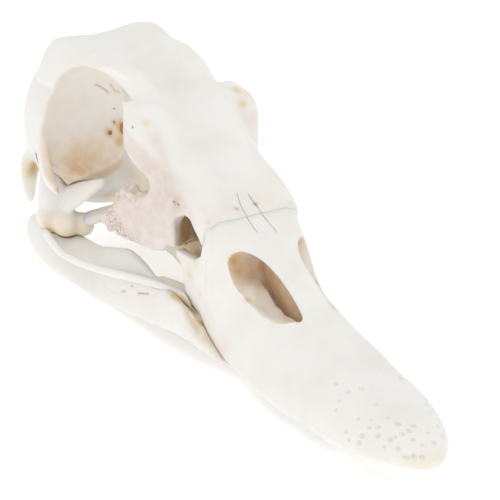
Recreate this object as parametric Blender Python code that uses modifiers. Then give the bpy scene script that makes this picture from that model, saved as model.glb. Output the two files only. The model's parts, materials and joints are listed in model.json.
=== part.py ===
# Skull of a Muscovy-type domestic duck with its lower jaw closed, bleached white, at life size.
#
# Sizes are in millimetres. X runs forward along the bill, Y to the animal's left and Z up.
# The sizes are counted from the middle of the hinge between the forehead and the bill.
# At the end everything is moved so that the floor is at height zero, and turned into metres.

import math

import bmesh
import bpy
import numpy as np
from mathutils import Matrix

for old_object in list(bpy.data.objects):
    bpy.data.objects.remove(old_object, do_unlink=True)

metres_per_millimetre = 0.001

# The whole skull
joint_gap = 0.3
thin_bone_gap = 0.5
half_gap = joint_gap / 2
grain_allowance = 0.2
floor_height = -25.7
skull_middle = -3.4

# Roof of the skull, from the back to the hinge:
# place, half width, height at the middle furrow, at the ridges, at the edges, and underneath
roof_sizes = [
    (-59.8, 9.8, 12.0, 12.4, 7.2, 4.0),
    (-55.0, 12.6, 14.4, 15.2, 8.0, 5.0),
    (-50.0, 12.9, 14.9, 16.2, 8.8, 6.5),
    (-45.8, 12.3, 14.7, 15.8, 11.4, 8.5),
    (-41.5, 11.1, 14.4, 16.0, 14.6, 9.4),
    (-38.0, 10.0, 14.0, 15.9, 15.7, 9.8),
    (-34.5, 8.7, 13.2, 16.4, 16.4, 9.8),
    (-31.0, 8.2, 12.5, 16.4, 16.4, 9.4),
    (-28.5, 8.3, 12.2, 15.3, 15.2, 8.6),
    (-26.0, 8.7, 11.9, 14.0, 13.2, 7.6),
    (-22.0, 10.0, 11.2, 13.4, 12.4, 6.5),
    (-18.0, 9.8, 9.3, 10.9, 9.4, 5.5),
    (-14.0, 8.8, 7.2, 8.4, 6.6, 4.0),
    (-10.0, 8.3, 5.2, 6.5, 5.2, 2.6),
    (-6.0, 8.0, 2.5, 4.0, 3.2, 0.3),
    (-2.5, 8.1, 0.8, 1.4, 1.0, -1.4),
    (3.0, 8.2, -0.9, -0.9, -1.2, -3.2),
]
roof_ridge_place = 0.66
roof_edge_thickness = 1.0

# Braincase: place, half width, top, bottom
braincase_sizes = [
    (-62.8, 6.5, 3.0, -11.0),
    (-61.8, 10.0, 8.0, -14.0),
    (-59.5, 13.4, 11.8, -15.6),
    (-56.0, 14.3, 13.4, -16.4),
    (-52.0, 14.5, 14.0, -16.9),
    (-48.5, 14.2, 14.0, -15.8),
    (-44.5, 12.0, 13.8, -11.0),
    (-40.5, 8.0, 13.4, -4.0),
]
orbit_centre = (-37.3, -13.0, 2.6)
orbit_radii = (12.9, 11.6, 13.3)
foramen_magnum_centre = (-63.5, 0.0, -5.6)
foramen_magnum_radii = (5.0, 3.8, 3.5)
occipital_condyle_centre = (-62.6, 0.0, -10.6)
occipital_condyle_radius = 1.9
skull_base_centre = (-54.5, 0.0, -13.2)
skull_base_radii = (8.0, 9.0, 4.4)
ear_centre = (-57.6, -14.6, -9.3)
ear_radii = (3.0, 3.0, 3.2)
jaw_recess_centre = (-48.5, -15.4, -13.8)
jaw_recess_radii = (5.0, 5.6, 6.8)

# Septum between the orbits, with the rostrum along its lower edge
septum_sizes = [
    (-47.0, 1.6, 11.0, -10.0),
    (-40.0, 1.2, 11.0, -9.6),
    (-34.0, 1.3, 10.4, -9.5),
    (-30.0, 2.0, 10.0, -9.4),
    (-26.0, 3.4, 9.4, -9.4),
    (-22.0, 4.2, 8.8, -9.5),
    (-18.0, 4.2, 7.2, -10.0),
    (-14.0, 3.6, 5.4, -10.3),
    (-9.0, 3.4, 3.0, -10.2),
    (-4.0, 3.4, 0.0, -9.4),
]
rostrum_line = [
    (-51.0, 0.0, -12.8, 4.2),
    (-47.0, 0.0, -11.2, 3.0),
    (-43.5, 0.0, -9.4, 2.0),
    (-34.0, 0.0, -8.9, 1.7),
    (-20.0, 0.0, -8.9, 1.6),
    (-9.0, 0.0, -8.8, 1.5),
]

# Joints between the bones of the cranium: across behind the orbits, beside the forehead,
# under the forehead, and the slanting one in front
split_back = -46.0
lacrimal_inner = 7.9
septum_line = [(-46.0, 4.4), (-24.0, 2.6), (0.6, -6.0), (20.0, -12.0)]
hinge_front = 0.4
hinge_foot = -7.2

# Lacrimal bone, its outline in side view, forward and up
lacrimal_outline = [
    (-26.4, 13.2), (-23.7, 12.5), (-23.1, 11.0), (-24.4, 8.9), (-23.4, 7.5), (-20.4, 5.2),
    (-17.9, 3.4), (-16.4, 1.8), (-16.4, 0.4), (-17.4, -0.9), (-20.9, -1.3), (-23.0, -1.6),
    (-27.6, -4.4), (-31.0, -7.0), (-32.4, -9.2), (-31.8, -11.5), (-28.0, -11.9), (-22.3, -11.1),
    (-17.4, -10.5), (-14.4, -10.2), (-12.4, -9.6), (-11.4, -8.3), (-11.0, -6.2), (-10.0, -4.0),
    (-8.2, -1.8), (-5.2, -0.9), (-2.8, -2.8), (-0.8, -4.6), (0.4, -3.6), (0.2, -0.8),
    (-1.6, 1.0), (-6.8, 3.4), (-11.0, 4.9), (-15.0, 7.4), (-18.5, 10.6), (-21.8, 12.3), (-25.0, 13.4),
]
lacrimal_half_thickness = 1.3
lacrimal_side = [(-31.0, 10.9), (-24.0, 11.0), (-18.0, 10.7), (-12.0, 9.6), (-7.0, 8.5), (0.0, 7.9)]
lacrimal_brow_side = [
    (-31.0, 10.2), (-27.0, 9.6), (-24.0, 10.4), (-21.5, 11.3), (-18.5, 10.8), (-16.0, 9.3),
    (-12.5, 7.7), (-7.5, 7.6), (0.0, 7.8),
]
brow_bottom = -2.0
brow_top = 4.0
# Plate across the front of the orbit, its outline from above
antorbital_outline = [
    (-10.6, 10.4), (-11.8, 9.0), (-13.6, 7.0), (-15.8, 4.6), (-17.0, 2.0), (-15.8, 1.2),
    (-14.2, 4.0), (-12.2, 6.0), (-10.6, 7.9), (-9.4, 9.6),
]
antorbital_top = 1.0
antorbital_bottom = -11.4
antorbital_rise = 0.33

# Upper bill: place, half width at the edge, edge height, half width of the ridge on top,
# height of the top, roundness of the shoulder and of the side
bill_sizes = [
    (-2.0, 8.6, -19.4, 8.2, 0.5, 7.0, 7.0),
    (0.5, 8.8, -21.4, 8.1, -0.3, 6.0, 6.0),
    (3.0, 9.1, -22.3, 7.6, -1.3, 4.4, 3.8),
    (6.5, 9.3, -22.3, 6.4, -2.5, 2.7, 2.3),
    (10.0, 9.4, -22.4, 5.3, -3.8, 1.85, 1.65),
    (14.0, 9.6, -22.5, 3.8, -5.2, 1.5, 1.4),
    (18.5, 9.9, -22.6, 3.3, -7.1, 1.4, 1.3),
    (23.0, 10.0, -22.8, 3.7, -9.6, 1.65, 1.45),
    (31.0, 9.8, -22.7, 3.8, -12.9, 2.1, 1.9),
    (40.0, 9.4, -22.4, 4.0, -14.6, 2.2, 2.0),
    (47.0, 8.4, -21.8, 3.6, -15.8, 2.2, 2.0),
    (52.0, 6.6, -21.5, 2.6, -17.5, 2.2, 2.0),
    (55.2, 4.6, -21.4, 1.6, -19.2, 2.2, 2.0),
    (57.7, 1.6, -21.5, 0.5, -20.8, 2.2, 2.0),
]
bill_base_outline = [
    (-1.4, -0.8), (0.6, -0.8), (1.6, -8.0), (2.4, -21.6), (0.9, -21.8), (0.2, -20.4), (-1.1, -19.0),
    (-2.4, -17.8), (-4.4, -17.2), (-6.2, -17.4), (-7.4, -16.6), (-7.8, -14.4), (-7.9, -12.2),
    (-9.2, -10.9), (-10.8, -10.2), (-10.2, -8.8), (-7.4, -8.6), (-4.0, -8.2), (-2.2, -6.9), (-1.4, -4.6),
]
bill_wall_half_thickness = 0.9
nostril_outline = [
    (22.6, -9.4), (20.9, -8.1), (18.6, -6.8), (15.9, -5.5), (12.6, -4.3), (9.8, -3.5), (7.6, -3.3), (6.1, -3.9),
    (5.4, -6.0), (6.4, -8.2), (8.4, -10.2), (11.2, -11.8), (14.7, -12.3), (18.4, -12.3), (21.4, -11.0),
]
nostril_slope = 0.38
nostril_level_side = 5.0
nose_wall_half_thickness = 0.6
nose_pocket_centre = (-2.4, -4.1, -9.0)
nose_pocket_radii = (4.4, 2.9, 6.6)
palate_depth = 2.3
bill_edge_drop = 0.8
bill_edge_thickness = 1.5

# Lower jaw, one side: place, sideways at the bottom, sideways at the top, top, bottom, half thickness
jaw_sizes = [
    (-56.0, 14.6, 14.3, -19.4, -21.2, 0.7),
    (-54.8, 14.7, 14.0, -17.8, -22.6, 1.2),
    (-52.8, 14.4, 13.2, -17.6, -24.4, 1.9),
    (-48.6, 13.8, 12.2, -18.0, -25.6, 3.0),
    (-44.6, 13.7, 11.2, -18.8, -26.0, 2.5),
    (-38.0, 13.7, 9.9, -18.6, -26.0, 1.5),
    (-32.0, 13.4, 9.4, -16.9, -25.8, 1.2),
    (-26.0, 13.1, 9.4, -15.0, -25.2, 1.1),
    (-20.0, 12.7, 9.8, -15.1, -24.5, 1.1),
    (-15.0, 12.3, 10.3, -15.7, -23.8, 1.1),
    (-10.0, 11.8, 10.6, -15.6, -23.0, 1.0),
    (-5.0, 11.3, 10.6, -16.6, -22.4, 1.0),
    (-1.0, 10.4, 9.8, -19.0, -22.7, 1.2),
    (2.0, 9.4, 8.7, -20.8, -23.3, 1.5),
    (5.0, 8.5, 7.8, -21.4, -23.7, 1.6),
    (8.0, 7.5, 7.0, -21.6, -23.9, 1.5),
    (13.0, 6.7, 6.5, -21.4, -24.0, 1.1),
    (22.0, 6.2, 6.2, -21.0, -24.0, 1.3),
    (34.0, 6.2, 6.2, -21.0, -24.0, 1.5),
    (42.0, 5.6, 5.6, -21.0, -24.2, 1.9),
]
jaw_shelf_line = [
    (-15.0, -9.8, -16.3, 1.2), (-9.0, -8.6, -17.2, 2.4), (-3.0, -7.8, -19.0, 2.8), (2.0, -7.2, -20.6, 2.2),
    (7.0, -6.6, -21.6, 1.4),
]
jaw_shelf_half_thickness = 0.6
# Front end of the lower jaw: place, half width, top, bottom at the sides, bottom at the middle
jaw_tip_sizes = [
    (38.0, 7.3, -21.4, -23.8, -24.4),
    (42.0, 7.0, -21.3, -23.8, -26.0),
    (46.0, 6.2, -21.2, -23.6, -26.0),
    (50.0, 4.6, -21.0, -23.2, -24.6),
    (53.0, 2.8, -20.9, -22.8, -23.4),
    (54.6, 1.2, -20.9, -22.4, -22.6),
]
jaw_split = 40.0

jugal_line = [
    (-3.6, -8.6, -16.9, 1.1), (-7.4, -9.4, -16.4, 0.95), (-12.0, -10.9, -16.0, 0.8),
    (-17.0, -12.0, -16.6, 0.8), (-23.0, -13.0, -17.8, 0.8), (-30.0, -14.0, -19.2, 0.8),
    (-37.0, -15.0, -20.1, 0.8), (-42.0, -15.6, -20.0, 0.85), (-47.0, -15.8, -18.4, 1.0),
]
palatine_outline = [
    (-3.4, -9.6), (-8.0, -10.0), (-12.0, -10.8), (-17.0, -11.7), (-23.0, -11.5), (-31.0, -11.3),
    (-37.6, -11.9), (-38.2, -12.9), (-33.0, -13.7), (-26.0, -13.9), (-18.0, -14.0), (-14.2, -14.4),
    (-12.4, -15.4), (-9.0, -16.0), (-3.4, -16.4),
]
palatine_side = [(-39.0, 3.1), (-30.0, 4.1), (-20.0, 4.8), (-13.0, 5.0), (-5.0, 5.2), (3.0, 5.2)]
palatine_half_thickness = 0.75
pterygoid_line = [(-38.4, -2.7, -12.7, 1.5), (-40.4, -4.6, -13.9, 1.9), (-43.4, -8.9, -15.8, 2.4)]
pterygoid_half_thickness = 1.15
vomer_line = [(-7.0, 0.0, -12.2, 1.2), (-13.0, 0.0, -13.3, 2.3), (-20.0, 0.0, -13.4, 2.4), (-29.0, 0.0, -12.2, 1.2)]
vomer_half_thickness = 0.5

# Quadrate, right side
quadrate_ear_line = [
    (-53.2, -11.7, -5.4, 2.1), (-51.6, -12.0, -9.0, 2.1), (-50.2, -12.4, -12.6, 2.8),
    (-49.6, -12.3, -15.4, 3.3),
]
quadrate_front_line = [(-47.4, -11.6, -13.2, 3.2), (-43.8, -9.8, -10.6, 2.3), (-40.0, -7.6, -7.6, 0.7)]
quadrate_condyles = [
    ((-48.8, -14.0, -16.6), (3.4, 2.2, 2.3)),
    ((-45.8, -12.2, -16.6), (3.4, 2.8, 2.5)),
    ((-43.8, -9.8, -16.8), (2.5, 1.9, 2.1)),
]
# Process behind the orbit, right side
postorbital_line = [
    (-54.0, -12.8, 4.0, 4.4), (-52.0, -13.9, -0.4, 3.5), (-49.6, -14.4, -4.0, 2.6), (-48.4, -14.4, -5.4, 1.8),
]
postorbital_tip_line = [
    (-51.0, -14.3, -2.4, 2.0), (-49.0, -14.7, -5.0, 1.9), (-46.8, -14.9, -7.6, 1.4), (-44.5, -14.4, -9.9, 0.55),
]
postorbital_half_thickness = 1.0
ear_wing_line = [
    (-58.6, -9.6, -4.0, 4.6), (-60.8, -10.6, -8.6, 3.9), (-61.8, -11.4, -12.6, 2.6),
    (-61.2, -11.8, -15.6, 1.5), (-60.6, -12.0, -17.8, 0.65),
]
ear_wing_half_thickness = 1.0

bone_colour = (0.86, 0.84, 0.79, 1.0)
bone_roughness = 0.55

parts = bpy.data.collections.new("duck_skull")
cutters = bpy.data.collections.new("cutters")
bpy.context.scene.collection.children.link(parts)
bpy.context.scene.collection.children.link(cutters)


def blend(table, place):
    """Values of a size table at a place between its rows, without overshoot."""
    rows = np.array(sorted(table), dtype=float)
    places = rows[:, 0]
    values = rows[:, 1:]
    place = min(max(place, places[0]), places[-1])
    steps = np.diff(places)[:, None]
    slopes = np.diff(values, axis=0) / steps
    tangents = np.zeros_like(values)
    tangents[0] = slopes[0]
    tangents[-1] = slopes[-1]
    for row in range(1, len(places) - 1):
        product = slopes[row - 1] * slopes[row]
        total = slopes[row - 1] + slopes[row]
        safe = np.where(np.abs(total) < 1e-9, 1.0, total)
        tangents[row] = np.where(product > 0.0, 2.0 * product / safe, 0.0)
    row = min(int(np.searchsorted(places, place, side="right")) - 1, len(places) - 2)
    width = places[row + 1] - places[row]
    t = (place - places[row]) / width
    start = values[row] * (2 * t ** 3 - 3 * t ** 2 + 1) + tangents[row] * width * (t ** 3 - 2 * t ** 2 + t)
    end = values[row + 1] * (3 * t ** 2 - 2 * t ** 3) + tangents[row + 1] * width * (t ** 3 - t ** 2)
    return start + end


def curve_through(points, count):
    """Evenly spaced points on a smooth curve through the given ones."""
    rows = np.array(points, dtype=float)
    last = len(points) - 1
    padded = np.vstack([2 * rows[0] - rows[1], rows, 2 * rows[-1] - rows[-2]])
    result = []
    for number in range(count):
        place = last * number / (count - 1)
        first = min(int(place), last - 1)
        t = place - first
        a, b, c, d = padded[first:first + 4]
        result.append(0.5 * (2 * b + (c - a) * t + (2 * a - 5 * b + 4 * c - d) * t ** 2
                             + (3 * b - a - 3 * c + d) * t ** 3))
    return np.array(result)


def closed_curve(points, per_span):
    """A smooth closed outline through the given corner points."""
    rows = np.array(points, dtype=float)
    total = len(rows)
    result = []
    for first in range(total):
        a, b, c, d = (rows[(first + shift) % total] for shift in (-1, 0, 1, 2))
        for number in range(per_span):
            t = number / per_span
            result.append(0.5 * (2 * b + (c - a) * t + (2 * a - 5 * b + 4 * c - d) * t ** 2
                                 + (3 * b - a - 3 * c + d) * t ** 3))
    return np.array(result)


def add_object(name, mesh, collection):
    result = bpy.data.objects.new(name, mesh)
    collection.objects.link(result)
    if collection == cutters:
        result.hide_render = True
        result.display_type = "WIRE"
    return result


def loft(name, rings):
    """A closed body through rings of equally many points, with a fan at each end."""
    count = len(rings[0])
    points = [tuple(point) for ring in rings for point in ring]
    points.append(tuple(np.mean(rings[0], axis=0)))
    points.append(tuple(np.mean(rings[-1], axis=0)))
    faces = []
    for ring in range(len(rings) - 1):
        for side in range(count):
            after = (side + 1) % count
            low = ring * count
            high = low + count
            faces.append((low + side, low + after, high + after, high + side))
    last = (len(rings) - 1) * count
    for side in range(count):
        after = (side + 1) % count
        faces.append((after, side, len(points) - 2))
        faces.append((last + side, last + after, len(points) - 1))
    mesh = bpy.data.meshes.new(name)
    mesh.from_pydata(points, [], faces)
    work = bmesh.new()
    work.from_mesh(mesh)
    bmesh.ops.recalc_face_normals(work, faces=work.faces)
    work.to_mesh(mesh)
    work.free()
    return add_object(name, mesh, cutters)


def rod(name, line, half_thickness=None, sides=12, count=14, thin_axis=(0.0, 1.0, 0.0), grow=0.0):
    """A tapered rod or strip along a line of (x, y, z, half width), with rounded ends."""
    samples = curve_through(line, count)
    centres = samples[:, :3]
    tangents = np.gradient(centres, axis=0)
    tangents /= np.linalg.norm(tangents, axis=1)[:, None]
    rings = []
    for number, centre in enumerate(centres):
        tangent = tangents[number]
        across = np.array(thin_axis) - tangent * np.dot(thin_axis, tangent)
        across /= np.linalg.norm(across)
        wide = np.cross(tangent, across)
        width = samples[number, 3]
        thick = min(half_thickness, width) if half_thickness else width
        steps = [(0.0, 1.0)]
        if number == 0:
            steps = [(-0.75, 0.45), (-0.45, 0.83), (0.0, 1.0)]
        if number == count - 1:
            steps = [(0.0, 1.0), (0.45, 0.83), (0.75, 0.45)]
        for shift, scale in steps:
            middle = centre + tangent * shift * (thick + grow)
            ring = []
            for side in range(sides):
                angle = 2 * math.pi * side / sides
                ring.append(middle + wide * (width + grow) * scale * math.cos(angle)
                            + across * (thick + grow) * scale * math.sin(angle))
            rings.append(np.array(ring))
    return loft(name, rings)


def ball(name, centre, radii, grow=0.0):
    bpy.ops.mesh.primitive_uv_sphere_add(segments=32, ring_count=20, location=(0.0, 0.0, 0.0))
    result = bpy.context.object
    result.name = name
    size = [radius + grow for radius in radii]
    result.data.transform(Matrix.LocRotScale(centre, None, size))
    for owner in list(result.users_collection):
        owner.objects.unlink(result)
    cutters.objects.link(result)
    result.hide_render = True
    result.display_type = "WIRE"
    return result


def plate(name, outline, low, high, axis="Y"):
    """A flat outline made into a solid: (x, z) outlines run along Y, (x, y) outlines along Z."""
    points = []
    for level in (low, high):
        for first, second in outline:
            points.append((first, level, second) if axis == "Y" else (first, second, level))
    count = len(outline)
    faces = [tuple(range(count)), tuple(range(2 * count - 1, count - 1, -1))]
    for side in range(count):
        after = (side + 1) % count
        faces.append((side, after, count + after, count + side))
    mesh = bpy.data.meshes.new(name)
    mesh.from_pydata(points, [], faces)
    work = bmesh.new()
    work.from_mesh(mesh)
    bmesh.ops.triangulate(work, faces=[face for face in work.faces if len(face.verts) > 4])
    bmesh.ops.recalc_face_normals(work, faces=work.faces)
    work.to_mesh(mesh)
    work.free()
    return add_object(name, mesh, cutters)


def evaluated_mesh(item):
    graph = bpy.context.evaluated_depsgraph_get()
    return bpy.data.meshes.new_from_object(item.evaluated_get(graph))


def settle(item):
    """Makes the modifiers of an object part of its mesh."""
    mesh = evaluated_mesh(item)
    item.modifiers.clear()
    item.data = mesh
    return item


def voxel(item, size):
    change = item.modifiers.new("even_faces", "REMESH")
    change.mode = "VOXEL"
    change.voxel_size = size
    return settle(item)


def soften(item, rounds, factor=0.5):
    change = item.modifiers.new("soften", "SMOOTH")
    change.factor = factor
    change.iterations = rounds
    return settle(item)


def thin_out(item, triangles, symmetric=False):
    work = bmesh.new()
    work.from_mesh(item.data)
    bmesh.ops.triangulate(work, faces=work.faces)
    work.to_mesh(item.data)
    present = len(work.faces)
    work.free()
    change = item.modifiers.new("fewer_faces", "DECIMATE")
    change.ratio = min(1.0, triangles / present)
    change.use_symmetry = symmetric
    change.symmetry_axis = "Y"
    return settle(item)


def boolean(item, other, operation, solver="MANIFOLD"):
    change = item.modifiers.new("cut", "BOOLEAN")
    change.operation = operation
    change.solver = solver
    change.object = other
    return settle(item)


def keep_largest(item):
    """Keeps only the largest closed surface."""
    work = bmesh.new()
    work.from_mesh(item.data)
    work.verts.ensure_lookup_table()
    unseen = set(work.verts)
    islands = []
    while unseen:
        island = [unseen.pop()]
        stack = list(island)
        while stack:
            for edge in stack.pop().link_edges:
                for corner in edge.verts:
                    if corner in unseen:
                        unseen.remove(corner)
                        island.append(corner)
                        stack.append(corner)
        islands.append(island)
    islands.sort(key=len, reverse=True)
    for island in islands[1:]:
        bmesh.ops.delete(work, geom=island, context="VERTS")
    work.to_mesh(item.data)
    work.free()
    return item


def joined(name, pieces):
    """One object that holds the meshes of several, which are then removed."""
    work = bmesh.new()
    for piece in pieces:
        work.from_mesh(piece.data)
    mesh = bpy.data.meshes.new(name)
    work.to_mesh(mesh)
    work.free()
    for piece in pieces:
        bpy.data.objects.remove(piece, do_unlink=True)
    return add_object(name, mesh, cutters)


def copy_of(item, name):
    return add_object(name, item.data.copy(), cutters)


def mirror_image(item, name):
    """The same body on the other side of the skull."""
    result = copy_of(item, name)
    result.data.transform(Matrix.Scale(-1.0, 4, (0.0, 1.0, 0.0)))
    result.data.flip_normals()
    return result


def both_sides(item):
    return [item, mirror_image(item, item.name + "_other")]


def fused(name, pieces, hollows, size, rounds, triangles, symmetric=False, processes=()):
    """Overlapping bodies grown together into one bone, then hollowed, given its processes and softened."""
    bone = voxel(joined(name, pieces), size)
    for hollow in hollows:
        boolean(bone, hollow, "DIFFERENCE")
    if processes:
        bone = joined(name, [bone] + list(processes))
    voxel(bone, size)
    soften(bone, rounds)
    keep_largest(bone)
    return thin_out(bone, triangles, symmetric)


def clear_of(item, others, gap=joint_gap, size=0.5):
    """Cuts a bone back so that it keeps its gap to its neighbours."""
    for other in others:
        grown = copy_of(other, other.name + "_space")
        change = grown.modifiers.new("grow", "DISPLACE")
        change.strength = gap + grain_allowance
        change.mid_level = 0.0
        settle(grown)
        voxel(grown, size)
        thin_out(grown, max(500, len(other.data.polygons)))
        boolean(item, grown, "DIFFERENCE")
    return keep_largest(item)


def region(item, name, outline, low=-60.0, high=60.0, axis="Y"):
    """The piece of a bone inside an outline."""
    result = copy_of(item, name)
    block = plate(name + "_region", outline, low, high, axis)
    boolean(result, block, "INTERSECT")
    return keep_largest(result)


def bend_sideways(body, table, upper_table=None):
    """Sets a flat plate out to the right by the distances that tables give along the skull."""
    points = np.empty(len(body.data.vertices) * 3)
    body.data.vertices.foreach_get("co", points)
    points = points.reshape(-1, 3)
    for point in points:
        side = blend(table, point[0])[0]
        if upper_table:
            share = min(max((point[2] - brow_bottom) / (brow_top - brow_bottom), 0.0), 1.0)
            side += (blend(upper_table, point[0])[0] - side) * share
        point[1] -= side
    body.data.vertices.foreach_set("co", points.ravel())
    body.data.update()
    return body


# Roof, braincase and septum grow together with the lacrimals into one body.
def roof_ring(place):
    width, middle, ridge, edge, under = blend(roof_sizes, place)
    points = []
    for number in range(25):
        side = -1.0 + 2.0 * number / 24
        away = abs(side)
        if away < roof_ridge_place:
            t = away / roof_ridge_place
            height = middle + (ridge - middle) * t * t * (3 - 2 * t)
        else:
            t = (away - roof_ridge_place) / (1 - roof_ridge_place)
            height = ridge - (ridge - edge) * t * t
        points.append((place, side * width, height))
    for number in range(1, 20):
        side = 1.0 - 2.0 * number / 20
        height = under + (edge - roof_edge_thickness - under) * abs(side) ** 4
        points.append((place, side * width, height))
    return np.array(points)


def oval_ring(place, width, top, bottom, power, count=40, level=0.5):
    points = []
    middle = bottom + (top - bottom) * level
    for number in range(count):
        angle = 2 * math.pi * number / count
        across = math.copysign(abs(math.cos(angle)) ** (2 / power), math.cos(angle))
        up = math.copysign(abs(math.sin(angle)) ** (2 / power), math.sin(angle))
        reach = top - middle if up > 0 else middle - bottom
        points.append((place, across * width, middle + up * reach))
    return np.array(points)


def places(first, last, count):
    return [first + (last - first) * number / (count - 1) for number in range(count)]


roof = loft("roof", [roof_ring(place) for place in places(-59.0, 3.0, 46)])
braincase_rings = []
for place in places(-62.6, -40.5, 24):
    width, top, bottom = blend(braincase_sizes, place)
    braincase_rings.append(oval_ring(place, width, top, bottom, 2.25, level=0.52))
braincase_body = loft("braincase_body", braincase_rings)
septum_rings = []
for place in places(-47.0, -5.0, 18):
    width, top, bottom = blend(septum_sizes, place)
    septum_rings.append(oval_ring(place, width, top, bottom, 6.0))
septum_body = loft("septum_body", septum_rings)
rostrum = rod("rostrum", rostrum_line, sides=16, count=20)
skull_base = ball("skull_base", skull_base_centre, skull_base_radii)
condyle = ball("condyle", occipital_condyle_centre, (occipital_condyle_radius,) * 3)
wings = both_sides(rod("ear_wing", ear_wing_line, ear_wing_half_thickness, sides=14, count=16,
                       thin_axis=(0.9, 0.4, 0.2)))


def lacrimal_body(name):
    outline = closed_curve(lacrimal_outline, 5)
    body = plate(name, [tuple(point) for point in outline], -lacrimal_half_thickness, lacrimal_half_thickness)
    voxel(body, 0.45)
    soften(body, 3)
    return bend_sideways(body, lacrimal_side, lacrimal_brow_side)


lacrimals = both_sides(lacrimal_body("lacrimal_body"))
antorbital = plate("antorbital", [(x, -y) for x, y in antorbital_outline], antorbital_bottom, antorbital_top, "Z")
# Its lower edge rises towards the lacrimal
for vertex in antorbital.data.vertices:
    if vertex.co.z < antorbital_top:
        vertex.co.z += antorbital_rise * abs(vertex.co.y)
postorbital = rod("postorbital", postorbital_line, postorbital_half_thickness, sides=14, count=14)
roots = both_sides(antorbital) + both_sides(postorbital)
tips = both_sides(rod("postorbital_tip", postorbital_tip_line, postorbital_half_thickness, sides=14, count=14))

hollows = []
for side in (1, -1):
    def placed(centre):
        return (centre[0], centre[1] * side, centre[2])
    hollows.append(ball("orbit", placed(orbit_centre), orbit_radii))
    hollows.append(ball("ear", placed(ear_centre), ear_radii))
    hollows.append(ball("jaw_recess", placed(jaw_recess_centre), jaw_recess_radii))
hollows.append(ball("foramen_magnum", foramen_magnum_centre, foramen_magnum_radii))

cranium_pieces = [roof, braincase_body, septum_body, rostrum, skull_base, condyle] + wings + lacrimals + roots
cranium = fused("cranium", cranium_pieces, hollows, 0.45, 4, 5000, symmetric=True, processes=tips)

# Quadrate and postorbital process of the right side, for which the cranium leaves room
quadrate_pieces = [
    rod("quadrate_ear", quadrate_ear_line, sides=14, count=12),
    rod("quadrate_front", quadrate_front_line, 1.0, sides=12, count=10, thin_axis=(0.5, 0.8, 0.0)),
]
for centre, radii in quadrate_condyles:
    quadrate_pieces.append(ball("quadrate_condyle", centre, radii))
quadrate_right = fused("quadrate_right", quadrate_pieces, [], 0.4, 2, 440)
clear_of(cranium, both_sides(quadrate_right))

# The joint with the bill slants back below the hinge.


def beside_hinge(shift, far):
    """The space behind or in front of the slanting joint."""
    return [(hinge_front + shift, 40.0), (hinge_front + shift, -1.0), (hinge_foot + shift, -22.0),
            (hinge_foot + shift, -60.0), (far, -60.0), (far, 40.0)]


cranium = region(cranium, "cranium_behind_hinge", beside_hinge(-half_gap, -90.0))

# Thin joints part the body into the bones that a person would name.
lacrimal_region = [(-27.6, 30.0), (-3.6, 30.0), (-3.6, -30.0), (-36.0, -30.0), (-36.0, 3.2), (-27.6, 3.2)]
braincase = region(cranium, "braincase", [
    (-90.0, 60.0), (split_back - half_gap, 60.0), (split_back - half_gap, -60.0), (-90.0, -60.0)])
front_of_skull = region(cranium, "front_of_skull", [
    (split_back + half_gap, 60.0), (20.0, 60.0), (20.0, -60.0), (split_back + half_gap, -60.0)])
lacrimal_right = region(front_of_skull, "lacrimal_right", lacrimal_region, -60.0, -lacrimal_inner - half_gap)
lacrimal_space = [(-27.9, 40.0), (-3.3, 40.0), (-3.3, -40.0), (-37.0, -40.0), (-37.0, 2.9), (-27.9, 2.9)]
middle_bones = copy_of(front_of_skull, "middle_bones")
boolean(middle_bones, plate("space_right", lacrimal_space, -70.0, -lacrimal_inner + half_gap), "DIFFERENCE")
boolean(middle_bones, plate("space_left", lacrimal_space, lacrimal_inner - half_gap, 70.0), "DIFFERENCE")
keep_largest(middle_bones)
frontal = region(middle_bones, "frontal", [
    (-60.0, 60.0), (-60.0, 4.4 + half_gap)] + [(x, z + half_gap) for x, z in septum_line] + [(20.0, 60.0)])
septum = region(middle_bones, "orbital_septum", [
    (-60.0, -60.0), (-60.0, 4.4 - half_gap)] + [(x, z - half_gap) for x, z in septum_line] + [(20.0, -60.0)])

# Upper bill
def bill_ring(place):
    width, edge, ridge_width, top, shoulder, flank = blend(bill_sizes, place)
    flat = ridge_width / width * 0.55
    points = []
    for number in range(33):
        side = -1.0 + 2.0 * number / 32
        fall = max(0.0, (abs(side) - flat) / (1 - flat))
        share = (1.0 - fall ** shoulder) ** (1.0 / flank)
        points.append((place, side * width, edge + (top - edge) * share))
    for number in range(1, 16):
        side = 1.0 - 2.0 * number / 16
        points.append((place, side * width, edge - bill_edge_drop))
    return np.array(points)


bill_body = loft("bill_body", [bill_ring(place) for place in places(-2.0, 57.7, 61)])


def bill_wall(name):
    wall = plate(name, bill_base_outline, -8.1 - bill_wall_half_thickness, -8.1 + bill_wall_half_thickness)
    return voxel(wall, 0.45)


bill_walls = both_sides(bill_wall("bill_wall"))
nostril_rim = [tuple(point) for point in closed_curve(nostril_outline, 2)]
nostril = plate("nostril", nostril_rim, -20.0, -nose_wall_half_thickness)
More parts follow.
